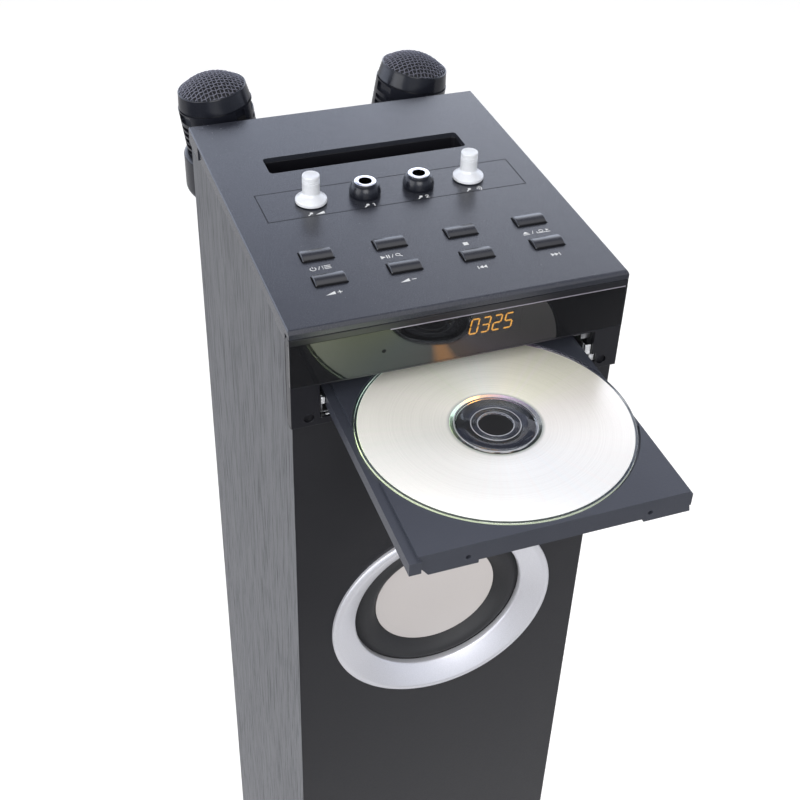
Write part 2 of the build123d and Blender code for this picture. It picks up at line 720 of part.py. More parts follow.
KNOB_BOTTOM = TOP + KNOB_GAP
KNOB_TOP = TOP + KNOB_HEIGHT
BORE_TOP = KNOB_TOP - KNOB_CROWN
for name, place in zip(("volume", "echo"), KNOB_PLACES):
    with BuildPart() as knob:
        # a bell-shaped foot that flows into a straight stem with a groove under its crown
        with BuildSketch(Plane.XZ.offset(-place[1])):
            with BuildLine():
                foot = Line((place[0], KNOB_BOTTOM), (place[0] + KNOB_BASE_RADIUS, KNOB_BOTTOM))
                rim = Line(foot @ 1, (place[0] + KNOB_BASE_RADIUS, KNOB_BOTTOM + 1.2))
                flare = ThreePointArc(
                    rim @ 1,
                    (place[0] + KNOB_STEM_RADIUS + KNOB_FLARE_WAIST, KNOB_BOTTOM + KNOB_FLARE_HEIGHT / 2),
                    (place[0] + KNOB_STEM_RADIUS, KNOB_BOTTOM + KNOB_FLARE_HEIGHT),
                )
                Polyline(
                    flare @ 1,
                    (place[0] + KNOB_STEM_RADIUS, KNOB_TOP - 2.6),
                    (place[0] + KNOB_STEM_RADIUS - 0.35, KNOB_TOP - 2.4),
                    (place[0] + KNOB_STEM_RADIUS - 0.35, KNOB_TOP - 2.0),
                    (place[0] + KNOB_STEM_RADIUS, KNOB_TOP - 1.8),
                    (place[0] + KNOB_STEM_RADIUS, KNOB_TOP - 0.5),
                    (place[0] + KNOB_STEM_RADIUS - 0.5, KNOB_TOP),
                    (place[0], KNOB_TOP),
                    foot @ 0,
                )
            make_face()
        revolve(axis=Axis((place[0], place[1], 0), (0, 0, 1)))
        post(place, SHAFT_RADIUS + SHAFT_FIT, KNOB_BOTTOM, BORE_TOP, Mode.SUBTRACT)
    save(knob.part, f"{name}_knob")
    with BuildPart() as shaft:
        post(place, SHAFT_RADIUS, PCB_TOP + 1.0 + FIT, BORE_TOP)
    save(shaft.part, f"{name}_shaft")

with BuildPart() as jack_bushings:
    for place in JACK_PLACES:
        with BuildSketch(Plane.XZ.offset(-place[1])):
            with BuildLine():
                Polyline(
                    (place[0] + JACK_NECK_RADIUS + SHAFT_FIT, TOP),
                    (place[0] + BUSHING_RADIUS, TOP),
                    (place[0] + BUSHING_TOP_RADIUS, TOP + BUSHING_HEIGHT - 1.0),
                    (place[0] + BUSHING_TOP_RADIUS - 0.9, TOP + BUSHING_HEIGHT),
                    (place[0] + JACK_NECK_RADIUS + SHAFT_FIT, TOP + BUSHING_HEIGHT),
                    close=True,
                )
            make_face()
        revolve(axis=Axis((place[0], place[1], 0), (0, 0, 1)))
save(jack_bushings.part, "jack_bushings")

with BuildPart() as jack_sockets:
    for place in JACK_PLACES:
        with Locations((place[0], place[1], TOP - (JACK_BODY_DEPTH + COVER_WALL + FIT) / 2)):
            Box(JACK_BODY, JACK_BODY, JACK_BODY_DEPTH - COVER_WALL - FIT)
        post(place, JACK_NECK_RADIUS, TOP - COVER_WALL - FIT, TOP + JACK_NECK_TOP)
        post(
            place, JACK_BORE, TOP + JACK_NECK_TOP - JACK_BORE_DEPTH, TOP + JACK_NECK_TOP, Mode.SUBTRACT
        )
save(jack_sockets.part, "jack_sockets")


# ---------------------------------------------------------------- disc loader
def involute(angle):
    """The involute of an angle in radians."""
    return tan(angle) - angle


def gear_outline(teeth, place, phase):
    """Corner points of an involute gear, one tooth centred on the phase angle in degrees."""
    pitch_radius = MODULE * teeth / 2
    base_radius = pitch_radius * cos(radians(PRESSURE_ANGLE))
    root_radius = pitch_radius - DEDENDUM
    tip_radius = pitch_radius + ADDENDUM
    half_tooth = (pi * MODULE / 2 - BACKLASH) / (2 * pitch_radius)
    flank_start = max(base_radius, root_radius)
    radii = [root_radius] + [flank_start + (tip_radius - flank_start) * i / 3 for i in range(4)]
    if root_radius >= base_radius:
        radii = radii[1:]
    points = []
    for tooth in range(teeth):
        centre = radians(phase) + 2 * pi * tooth / teeth
        flank = []
        for radius in radii:
            at_radius = acos(min(1.0, base_radius / radius))
            half = half_tooth + involute(radians(PRESSURE_ANGLE)) - involute(at_radius)
            flank.append((radius, half))
        for radius, half in flank:
            points.append((radius, centre - half))
        for radius, half in reversed(flank):
            points.append((radius, centre + half))
    return [(place[0] + r * cos(a), place[1] + r * sin(a)) for r, a in points]


def rack_outline(first_y, last_y):
    """Corner points of a rack whose teeth face +X, with a gap centred on the tray gear."""
    pitch = pi * MODULE
    slope = tan(radians(PRESSURE_ANGLE))
    half_at_pitch = pitch / 4 - BACKLASH / 2
    points = [(RACK_X - RACK_BODY, last_y), (RACK_X - RACK_BODY, first_y), (RACK_X - DEDENDUM, first_y)]
    tooth_y = GEAR_PLACE[1] + pitch / 2
    while tooth_y - pitch > first_y + pitch / 2:
        tooth_y -= pitch
    while tooth_y < last_y - pitch / 2:
        points.append((RACK_X - DEDENDUM, tooth_y - half_at_pitch - slope * DEDENDUM))
        points.append((RACK_X + ADDENDUM, tooth_y - half_at_pitch + slope * ADDENDUM))
        points.append((RACK_X + ADDENDUM, tooth_y + half_at_pitch - slope * ADDENDUM))
        points.append((RACK_X - DEDENDUM, tooth_y + half_at_pitch + slope * DEDENDUM))
        tooth_y += pitch
    points.append((RACK_X - DEDENDUM, last_y))
    return points


def tray_rails():
    """The low rails along both sides of the tray, which run on the chassis ledges."""
    rail_front = FRONT + TRAY_FRONT - 1.5
    rail_back = FRONT + TRAY_FRONT + TRAY_LENGTH
    rail_z = (RAIL_BOTTOM, TRAY_RIM - RAIL_DROP)
    fill((-TRAY_HALF - RAIL_LEFT, -TRAY_HALF + 1.0), (rail_front, rail_back), rail_z)
    fill((TRAY_HALF - 1.0, TRAY_HALF + RAIL_RIGHT), (rail_front + 1.5, rail_back), rail_z)
    fill((TRAY_HALF, TRAY_HALF + RAIL_HOOK), (rail_back - RAIL_HOOK_LENGTH, rail_back), rail_z)


def tray_flange():
    """The front flange with deeper tabs at its ends and two holes for a front panel."""
    flange_front = FRONT + TRAY_FRONT
    with BuildSketch(Plane.XZ.offset(-flange_front)) as outline:
        with BuildLine():
            Polyline(
                (FLANGE_LEFT, TRAY_RIM - RAIL_DROP),
                (FLANGE_LEFT, TRAY_RIM - FLANGE_TAB + 4.0),
                (FLANGE_LEFT + 3.0, TRAY_RIM - FLANGE_TAB),
                (TAB_LEFT_END, TRAY_RIM - FLANGE_TAB),
                (TAB_LEFT_END, TRAY_RIM - FLANGE_MIDDLE),
                (TAB_RIGHT_START, TRAY_RIM - FLANGE_MIDDLE),
                (TAB_RIGHT_START, TRAY_RIM - FLANGE_TAB),
                (FLANGE_RIGHT, TRAY_RIM - FLANGE_TAB),
                (FLANGE_RIGHT - 1.8, TRAY_RIM - RAIL_DROP),
                close=True,
            )
        make_face()
        with Locations(
            (FLANGE_HOLE_LEFT, TRAY_RIM - FLANGE_HOLE_DROP),
            (FLANGE_HOLE_RIGHT, TRAY_RIM - FLANGE_HOLE_DROP),
        ):
            Circle(FLANGE_HOLE_RADIUS, mode=Mode.SUBTRACT)
    extrude(outline.sketch, amount=-FLANGE_THICKNESS)


DISC_CENTRE = (0.0, FRONT + DISC_Y)
DISC_BOTTOM = TRAY_RIM - DISC_RECESS + DISC_GAP
with BuildPart() as disc_tray:
    tray_back = FRONT + TRAY_FRONT + TRAY_LENGTH
    fill((-TRAY_HALF, TRAY_HALF), (FRONT + TRAY_FRONT, tray_back), (TRAY_BOTTOM, TRAY_RIM))
    tray_rails()
    tray_flange()
    # stepped seats for large and small discs, and the well for the turntable and the pickup
    post(DISC_CENTRE, DISC_RADIUS + RECESS_CLEARANCE, TRAY_RIM - DISC_RECESS, TOP, Mode.SUBTRACT)
    post(
        DISC_CENTRE, SMALL_RECESS_RADIUS, TRAY_RIM - DISC_RECESS - SMALL_RECESS, TOP, Mode.SUBTRACT
    )
    with BuildSketch(Plane.XY.offset(TRAY_RIM)):
        with Locations(DISC_CENTRE):
            Circle(TURNTABLE_RADIUS + WELL_GAP)
        with Locations((0, DISC_CENTRE[1] + WELL_LENGTH / 2)):
            SlotOverall(WELL_LENGTH, WELL_WIDTH, rotation=90)
    extrude(amount=-TRAY_FLOOR, mode=Mode.SUBTRACT)
    with BuildSketch(Plane.XY.offset(TRAY_BOTTOM)):
        with BuildLine():
            rack_back = FRONT + GEAR_Y + RACK_OVERRUN
            rack_front = rack_back - TRAY_TRAVEL - 2 * RACK_OVERRUN
            Polyline(*rack_outline(rack_front, rack_back), close=True)
        make_face()
    extrude(amount=-RACK_DEPTH)
save(disc_tray.part, "disc_tray")

with BuildPart() as disc:
    with BuildSketch(Plane.XY.offset(DISC_BOTTOM)):
        with Locations(DISC_CENTRE):
            Circle(DISC_RADIUS)
            Circle(DISC_HOLE, mode=Mode.SUBTRACT)
    extrude(amount=DISC_THICKNESS)
save(disc.part, "disc")

with BuildPart() as loader_chassis:
    floor_z = (CHASSIS_FLOOR_Z - CHASSIS_FLOOR, CHASSIS_FLOOR_Z)
    run_y = (FRONT + CHASSIS_FRONT, FRONT + CHASSIS_BACK)
    wall_z = (CHASSIS_FLOOR_Z, TOP - CHASSIS_TOP)
    fill((-CHASSIS_HALF, CHASSIS_HALF), run_y, floor_z)
    inner_wall = CHASSIS_HALF - CHASSIS_WALL
    ledge_z = (RAIL_BOTTOM - SLIDE_GAP - LEDGE_THICKNESS, RAIL_BOTTOM - SLIDE_GAP)
    rail_top = TRAY_RIM - RAIL_DROP
    lip_z = (rail_top + SLIDE_GAP, rail_top + SLIDE_GAP + LIP_THICKNESS)
    for side, ledge in ((-1, LEDGE_LEFT), (1, LEDGE_RIGHT)):
        fill(tuple(sorted((side * inner_wall, side * CHASSIS_HALF))), run_y, wall_z)
        fill(tuple(sorted((side * ledge, side * inner_wall))), run_y, ledge_z)
        fill(tuple(sorted((side * (inner_wall - LIP_REACH), side * inner_wall))), run_y, lip_z)
    fill((-CHASSIS_HALF, CHASSIS_HALF), (run_y[1] - CHASSIS_WALL, run_y[1]), wall_z)
    # gear axles and the four posts under the traverse
    post(GEAR_PLACE, AXLE_RADIUS + BOSS_WALL, CHASSIS_FLOOR_Z, TOP - GEAR_BOTTOM - FIT)
    post(GEAR_PLACE, AXLE_RADIUS, CHASSIS_FLOOR_Z, TRAY_BOTTOM - 1.0)
    post(PINION_PLACE, AXLE_RADIUS + BOSS_WALL, CHASSIS_FLOOR_Z, TOP - PULLEY_TOP - PULLEY_HEIGHT - FIT)
    post(PINION_PLACE, AXLE_RADIUS, CHASSIS_FLOOR_Z, TOP - PINION_TOP)
    for x in (-SUPPORT_X, SUPPORT_X):
        for y in (TRAVERSE_FRONT + SUPPORT_INSET, TRAVERSE_BACK - SUPPORT_INSET):
            traverse_bottom = TOP - TRAVERSE_TOP - TRAVERSE_THICKNESS
            post((x, FRONT + y), POST_RADIUS, CHASSIS_FLOOR_Z, traverse_bottom)
save(loader_chassis.part, "loader_chassis")

with BuildPart() as tray_gear:
    with BuildSketch(Plane.XY.offset(TOP - GEAR_BOTTOM)):
        with BuildLine():
            Polyline(*gear_outline(TRAY_GEAR_TEETH, GEAR_PLACE, 180.0), close=True)
        make_face()
    extrude(amount=TRAY_BOTTOM - 0.8 - (TOP - GEAR_BOTTOM))
    post(GEAR_PLACE, AXLE_RADIUS + AXLE_FIT, TOP - GEAR_BOTTOM, TRAY_BOTTOM, Mode.SUBTRACT)
save(tray_gear.part, "tray_gear")

# The pinion shows the tray gear a gap where the tray gear shows it a tooth.
PINION_PHASE = PINION_DIRECTION + 180.0 + 180.0 / PINION_TEETH
PULLEY_BOTTOM = TOP - PULLEY_TOP - PULLEY_HEIGHT
BELT_MIDDLE = PULLEY_BOTTOM + PULLEY_HEIGHT / 2


def pulley(place, radius):
    """A flat pulley with a square groove for the belt."""
    post(place, radius, PULLEY_BOTTOM, PULLEY_BOTTOM + PULLEY_HEIGHT)
    groove_z = (BELT_MIDDLE - BELT / 2 - BELT_GAP, BELT_MIDDLE + BELT / 2 + BELT_GAP)
    post(place, radius + 1.0, groove_z[0], groove_z[1], Mode.SUBTRACT)
    post(place, radius - GROOVE, groove_z[0], groove_z[1])


with BuildPart() as pulley_gear:
    pulley(PINION_PLACE, PULLEY_RADIUS)
    with BuildSketch(Plane.XY.offset(PULLEY_BOTTOM + PULLEY_HEIGHT)):
        with BuildLine():
            Polyline(*gear_outline(PINION_TEETH, PINION_PLACE, PINION_PHASE), close=True)
        make_face()
    extrude(amount=PULLEY_TOP - PINION_TOP)
    post(PINION_PLACE, AXLE_RADIUS + AXLE_FIT, PULLEY_BOTTOM, TOP - PINION_TOP, Mode.SUBTRACT)
save(pulley_gear.part, "pulley_gear")

with BuildPart() as motor_pulley:
    pulley(MOTOR_PLACE, MOTOR_PULLEY_RADIUS)
    post(MOTOR_PLACE, SPINDLE_RADIUS, TOP - MOTOR_TOP - SPINDLE_SINK, PULLEY_BOTTOM)
save(motor_pulley.part, "motor_pulley")

with BuildPart() as loading_motor:
    post(MOTOR_PLACE, MOTOR_RADIUS, CHASSIS_FLOOR_Z, TOP - MOTOR_TOP)
    spindle_end = TOP - MOTOR_TOP - SPINDLE_SINK - SPINDLE_END_GAP
    post(MOTOR_PLACE, SPINDLE_RADIUS + AXLE_FIT, spindle_end, TOP - MOTOR_TOP, Mode.SUBTRACT)
save(loading_motor.part, "loading_motor")

with BuildPart() as drive_belt:
    belt_inner = {PINION_PLACE: PULLEY_RADIUS - GROOVE + BELT_GAP}
    belt_inner[MOTOR_PLACE] = MOTOR_PULLEY_RADIUS - GROOVE + BELT_GAP
    for thickness, mode in ((BELT, Mode.ADD), (0.0, Mode.SUBTRACT)):
        with BuildSketch(Plane.XY.offset(BELT_MIDDLE - BELT / 2)) as loop:
            for place, radius in belt_inner.items():
                with Locations(place):
                    Circle(radius + thickness)
            make_hull(loop.edges())
        extrude(amount=BELT, mode=mode)
save(drive_belt.part, "drive_belt")

TRAVERSE_Z = (TOP - TRAVERSE_TOP - TRAVERSE_THICKNESS, TOP - TRAVERSE_TOP)
ROD_Z = (TRAVERSE_Z[0] + TRAVERSE_Z[1]) / 2
OPENING_Y = (FRONT + PICKUP_START - 2.0, FRONT + PICKUP_START + PICKUP_LENGTH + PICKUP_TRAVEL + 4.0)
MOTOR_BORE_DEPTH = 6.0
with BuildPart() as traverse:
    traverse_y = (FRONT + TRAVERSE_FRONT, FRONT + TRAVERSE_BACK)
    fill((-TRAVERSE_HALF, TRAVERSE_HALF), traverse_y, TRAVERSE_Z)
    fill((-WINDOW_HALF, WINDOW_HALF), OPENING_Y, TRAVERSE_Z, Mode.SUBTRACT)
    spindle_motor_z = (TRAVERSE_Z[0] - SPINDLE_MOTOR_HEIGHT, TRAVERSE_Z[0])
    post((0, SPINDLE_Y), SPINDLE_MOTOR_RADIUS, spindle_motor_z[0], spindle_motor_z[1])
    post(
        (0, SPINDLE_Y), SPINDLE_RADIUS + AXLE_FIT, TRAVERSE_Z[1] - MOTOR_BORE_DEPTH, TRAVERSE_Z[1], Mode.SUBTRACT
    )
save(traverse.part, "traverse")

with BuildPart() as guide_rods:
    with BuildSketch(Plane.XZ.offset(-OPENING_Y[0])):
        with Locations((-ROD_X, ROD_Z), (ROD_X, ROD_Z)):
            Circle(ROD_RADIUS)
    extrude(amount=OPENING_Y[0] - OPENING_Y[1])
save(guide_rods.part, "guide_rods")

with BuildPart() as optical_pickup:
    pickup_y = (FRONT + PICKUP_START, FRONT + PICKUP_START + PICKUP_LENGTH)
    pickup_z = (TOP - PICKUP_TOP - PICKUP_HEIGHT, TOP - PICKUP_TOP)
    fill((-PICKUP_HALF, PICKUP_HALF), pickup_y, pickup_z)
    post((0, (pickup_y[0] + pickup_y[1]) / 2), LENS_RADIUS, pickup_z[1], pickup_z[1] + 1.5)
    with BuildSketch(Plane.XZ.offset(-pickup_y[0])):
        with Locations((-ROD_X, ROD_Z), (ROD_X, ROD_Z)):
            Circle(ROD_RADIUS + AXLE_FIT)
    extrude(amount=-PICKUP_LENGTH, mode=Mode.SUBTRACT)
save(optical_pickup.part, "optical_pickup")

with BuildPart() as turntable:
    turntable_top = TOP - TURNTABLE_TOP
    post((0, SPINDLE_Y), TURNTABLE_RADIUS, turntable_top - TURNTABLE_THICKNESS, turntable_top)
    with Locations((0, SPINDLE_Y, turntable_top + CENTRING_HEIGHT / 2)):
        Cone(CENTRING_RADIUS, CENTRING_RADIUS - 1.5, CENTRING_HEIGHT)
    shaft_foot = TRAVERSE_Z[1] - MOTOR_BORE_DEPTH + FIT
    post((0, SPINDLE_Y), SPINDLE_RADIUS, shaft_foot, turntable_top - TURNTABLE_THICKNESS)
save(turntable.part, "turntable")

with BuildPart() as clamp_bridge:
    bridge_z = (BRIDGE_BOTTOM, BRIDGE_BOTTOM + BRIDGE_THICKNESS)
    bridge_y = (SPINDLE_Y - BRIDGE_HALF_DEPTH, SPINDLE_Y + BRIDGE_HALF_DEPTH)
    fill((-CHASSIS_HALF, CHASSIS_HALF), bridge_y, bridge_z)
    post((0, SPINDLE_Y), PUCK_HOLE, bridge_z[0], bridge_z[1], Mode.SUBTRACT)
save(clamp_bridge.part, "clamp_bridge")

with BuildPart() as clamp_puck:
    cap_bottom = BRIDGE_BOTTOM + BRIDGE_THICKNESS + DISC_GAP
    puck_bottom = BRIDGE_BOTTOM - PUCK_DROP
    post((0, SPINDLE_Y), PUCK_CAP_RADIUS, cap_bottom, cap_bottom + PUCK_CAP)
    post((0, SPINDLE_Y), PUCK_NECK, puck_bottom, cap_bottom)
    post((0, SPINDLE_Y), PUCK_RADIUS, puck_bottom, puck_bottom + PUCK_FLANGE)
save(clamp_puck.part, "clamp_puck")

with BuildPart() as guide_brackets:
    # two equal strips bent to an L, and the hold-down tab over the tray's right edge
    bracket_y = (FRONT + BRACKET_FRONT, FRONT + CHASSIS_FRONT)
    leg_z = (TOP - BRACKET_BOTTOM, TOP - BRACKET_TOP)
    for leg in (BRACKET_LEFT, BRACKET_RIGHT):
        fill((leg, leg + STEEL), bracket_y, leg_z)
        fill((leg, leg + BRACKET_FOOT), bracket_y, (leg_z[0], leg_z[0] + STEEL))
    tab_z = (TOP - TAB_BOTTOM, TOP - TAB_TOP)
    fill((TAB_START, TAB_END), (FRONT + TAB_FRONT, FRONT + TAB_FRONT + STEEL), tab_z)
    fill((TAB_END - STEEL, TAB_END), (FRONT + TAB_FRONT, FRONT + CHASSIS_FRONT), tab_z)
save(guide_brackets.part, "guide_brackets")


# ---------------------------------------------------------------- loudspeakers
def section_plane(height):
    """A plane through a driver's axis: local x is the radius, local y is world y."""
    return Plane.XY.offset(height)


def driver_axis(height):
    return Axis((0, 0, height), (0, 1, 0))


SURROUND_BACK = INNER_FRONT
CONE_EDGE = FRONT + CONE_SINK
for name, drop in DRIVER_DROPS.items():
    height = TOP - drop
    ring_front = FRONT
    sleeve_end = SURROUND_BACK - SURROUND_LIP - FIT
    with BuildPart() as trim_ring:
        with BuildSketch(section_plane(height)):
            with BuildLine():
                Polyline(
                    (RING_RADIUS, WOOD_FRONT),
                    (RING_RADIUS, ring_front + 1.2),
                    (RING_RADIUS - RING_BEVEL, ring_front),
                    (RING_RADIUS - RING_BEVEL - 1.2, ring_front),
                    (RING_THROAT, ring_front + RING_DEPTH),
                    (RING_THROAT, sleeve_end),
                    (RING_THROAT + RING_WALL, sleeve_end),
                    (RING_THROAT + RING_WALL, ring_front + RING_DEPTH),
                    (CUTOUT_RADIUS - FIT, WOOD_FRONT + RING_WALL / 2),
                    (CUTOUT_RADIUS - FIT, WOOD_FRONT),
                    close=True,
                )
            make_face()
        revolve(axis=driver_axis(height))
    save(trim_ring.part, f"{name}_trim_ring")
    with BuildPart() as cone:
        with BuildSketch(section_plane(height)):
            with BuildLine():
                half_edge = SURROUND_INNER / 2
                front_dish = ThreePointArc(
                    (SURROUND_INNER, CONE_EDGE),
                    (half_edge, CONE_EDGE + cap_height(SURROUND_INNER, CONE_DISH, half_edge)),
                    (0, CONE_EDGE + CONE_DISH),
                )
                dish_back = CONE_EDGE + CONE_DISH + CONE_THICKNESS
                coil_back = dish_back + COIL_LENGTH
                Polyline(
                    front_dish @ 1,
                    (0, dish_back),
                    (COIL_RADIUS - COIL_WALL, dish_back),
                    (COIL_RADIUS - COIL_WALL, coil_back),
                    (COIL_RADIUS, coil_back),
                    (COIL_RADIUS, dish_back),
                    (SURROUND_INNER, CONE_EDGE + CONE_THICKNESS),
                    front_dish @ 0,
                )
            make_face()
        revolve(axis=driver_axis(height))
    save(cone.part, f"{name}_cone")

with BuildPart() as surrounds:
    for drop in DRIVER_DROPS.values():
        height = TOP - drop
        with BuildSketch(section_plane(height)):
            with BuildLine():
                roll_outer = RING_THROAT - 0.7
                roll_inner = SURROUND_INNER + 0.3
                roll_middle = (roll_outer + roll_inner) / 2
                lip_front = SURROUND_BACK - SURROUND_LIP
                front_roll = ThreePointArc(
                    (roll_outer, lip_front),
                    (roll_middle, lip_front - 2.8),
                    (roll_inner, CONE_EDGE),
                )
                back_roll = ThreePointArc(
                    (roll_inner, CONE_EDGE + SURROUND_LIP),
                    (roll_middle, lip_front - 1.6),
                    (roll_outer, SURROUND_BACK),
                )
                Line(front_roll @ 1, back_roll @ 0)
                Polyline(
                    back_roll @ 1,
                    (CUTOUT_RADIUS - FIT, SURROUND_BACK),
                    (CUTOUT_RADIUS - FIT, lip_front),
                    front_roll @ 0,
                )
            make_face()
        revolve(axis=driver_axis(height))
save(surrounds.part, "surrounds")

with BuildPart() as driver_frames:
    for drop in DRIVER_DROPS.values():
        height = TOP - drop
        basket_back = SURROUND_BACK + BASKET_DEPTH
        with BuildSketch(section_plane(height)):
            with BuildLine():
                Polyline(
                    (RING_THROAT, SURROUND_BACK),
                    (FLANGE_RADIUS, SURROUND_BACK),
                    (FLANGE_RADIUS, SURROUND_BACK + DRIVER_SHEET),
                    (RING_THROAT, SURROUND_BACK + DRIVER_SHEET),
                    (MAGNET_RADIUS - MAGNET_SHOULDER, basket_back),
                    (MAGNET_RADIUS, basket_back),
                    (MAGNET_RADIUS, basket_back + MAGNET_HEIGHT),
                    (0, basket_back + MAGNET_HEIGHT),
                    (0, basket_back),
                    (MAGNET_RADIUS - MAGNET_SHOULDER - DRIVER_SHEET, basket_back),
                    (RING_THROAT - DRIVER_SHEET, SURROUND_BACK + DRIVER_SHEET),
                    close=True,
                )
            make_face()
        revolve(axis=driver_axis(height))
save(driver_frames.part, "driver_frames")


# ---------------------------------------------------------------- microphones
def mic_frame(name):
    """Rim centre and the unit vectors along the microphone and across it."""
    lean_x = tan(radians(LEAN_OUT[name]))
    lean_y = -tan(radians(LEAN_FORWARD[name]))
    rim = Vector(MIC_X[name], FRONT + MIC_BACK, TOP + MIC_RISE[name])
    along = Vector(lean_x, lean_y, 1).normalized()
    across = Vector(0, 1, 0).cross(along).normalized()
    return rim, along, across


def mic_section(name):
    """A plane through the microphone's axis: local x is the radius, local y runs up the axis."""
    rim, along, across = mic_frame(name)
    return Plane(origin=rim, x_dir=across, z_dir=across.cross(along))


def mic_level(name, drop, turn=0.0):
    """A plane square to the microphone, below its rim by the drop, with x turned about its axis."""
    rim, along, across = mic_frame(name)
    angle = radians(turn)
    facing = across * cos(angle) + along.cross(across) * sin(angle)
    return Plane(origin=rim - along * drop, x_dir=facing, z_dir=along)


def mic_axis(name):
    rim, along, _ = mic_frame(name)
    return Axis(rim, along)


def body_radius(drop):
    """Radius of the microphone's body below its collar."""
    neck_end = COLLAR_HEIGHT + NECK_LENGTH
    grip_start = neck_end + NECK_TAPER
    if drop < neck_end:
        return NECK_RADIUS
    if drop < grip_start:
        return NECK_RADIUS + (GRIP_RADIUS - NECK_RADIUS) * (drop - neck_end) / NECK_TAPER
    return GRIP_RADIUS + (TAIL_RADIUS - GRIP_RADIUS) * (drop - grip_start) / (MIC_LENGTH - grip_start)


def facing_plane(name, drop, turn, radius):
    """A plane that faces outwards at a radius of the microphone; local y runs up its axis."""
    level = mic_level(name, drop, turn)
    outward = level.x_dir
    return Plane(origin=level.origin + outward * radius, x_dir=level.y_dir, z_dir=outward)


def switch_plane(name):
    """The floor of the switch recess in the collar."""
    return facing_plane(name, SWITCH_DROP, SWITCH_TURN[name], NECK_RADIUS - SWITCH_RECESS)


for name in SIDES:
    with BuildPart() as mic_grille:
        # a low dome of mesh on a short skirt that sits in the collar
        with BuildSketch(mic_section(name)):
            with BuildLine():
                half_rim = RIM_RADIUS / 2
                inner_rim = RIM_RADIUS - 1.5 * MESH
                inner_rise = DOME_HEIGHT - MESH
                outer = ThreePointArc(
                    (RIM_RADIUS, 0),
                    (half_rim, cap_height(RIM_RADIUS, DOME_HEIGHT, half_rim)),
                    (0, DOME_HEIGHT),
                )
                inner = ThreePointArc(
                    (0, inner_rise),
                    (half_rim, cap_height(inner_rim, inner_rise, half_rim)),
                    (inner_rim, 0),
                )
                Line(outer @ 1, inner @ 0)
                Line(inner @ 1, outer @ 0)
            make_face()
        revolve(axis=mic_axis(name))
    save(mic_grille.part, f"mic_grille_{name}")

    with BuildPart() as mic_body:
        neck_end = COLLAR_HEIGHT + NECK_LENGTH
        with BuildSketch(mic_section(name)):
            with BuildLine():
                Polyline(
                    (0, -HEAD_CAVITY),
                    (RIM_RADIUS - HEAD_WALL, -HEAD_CAVITY),
                    (RIM_RADIUS - HEAD_WALL, -SHAFT_FIT),
                    (RIM_RADIUS, -SHAFT_FIT),
                    (COLLAR_RADIUS, -COLLAR_HEIGHT),
                    (COLLAR_RADIUS - GROOVE_SINK, -COLLAR_HEIGHT),
                    (COLLAR_RADIUS - GROOVE_SINK, -COLLAR_HEIGHT - COLLAR_GROOVE),
                    (NECK_RADIUS, -COLLAR_HEIGHT - COLLAR_GROOVE),
                    (NECK_RADIUS, -neck_end),
                    (GRIP_RADIUS, -neck_end - NECK_TAPER),
                    (TAIL_RADIUS, -MIC_LENGTH + 2.0),
                    (TAIL_RADIUS - 2.0, -MIC_LENGTH),
                    (0, -MIC_LENGTH),
                    close=True,
                )
            make_face()
        revolve(axis=mic_axis(name))
        # two columns of vents, each a tall one above a row of slots
        for turn in VENT_TURNS:
            with BuildSketch(facing_plane(name, WINDOW_VENT_DROP, turn, NECK_RADIUS - VENT_DEPTH)):
                RectangleRounded(VENT_WIDTH, WINDOW_VENT_HEIGHT, VENT_CORNER)
            extrude(amount=2 * VENT_DEPTH, mode=Mode.SUBTRACT)
            for row in range(VENT_ROWS):
                drop = VENT_START + row * VENT_PITCH
                with BuildSketch(facing_plane(name, drop, turn, body_radius(drop) - VENT_DEPTH)):
                    SlotOverall(VENT_WIDTH, VENT_HEIGHT)
                extrude(amount=2 * VENT_DEPTH, mode=Mode.SUBTRACT)
        with BuildSketch(switch_plane(name)):
            RectangleRounded(SWITCH_PLATE_WIDTH, SWITCH_PLATE_HEIGHT, VENT_CORNER / 2)
        extrude(amount=3 * SWITCH_RECESS, mode=Mode.SUBTRACT)
    save(mic_body.part, f"mic_body_{name}")

    with BuildPart() as mic_switch:
        # slides up and down in its recess, drawn at its lower stop
        slider_low = (SLIDER_HEIGHT - SWITCH_PLATE_HEIGHT) / 2 + SLIDER_MARGIN
        with BuildSketch(switch_plane(name).offset(SHAFT_FIT)):
            with Locations((0, slider_low)):
                RectangleRounded(SWITCH_PLATE_WIDTH - 4 * SHAFT_FIT - FIT, SLIDER_HEIGHT, VENT_CORNER / 2)
        extrude(amount=SWITCH_RECESS)
    save(mic_switch.part, f"mic_switch_{name}")

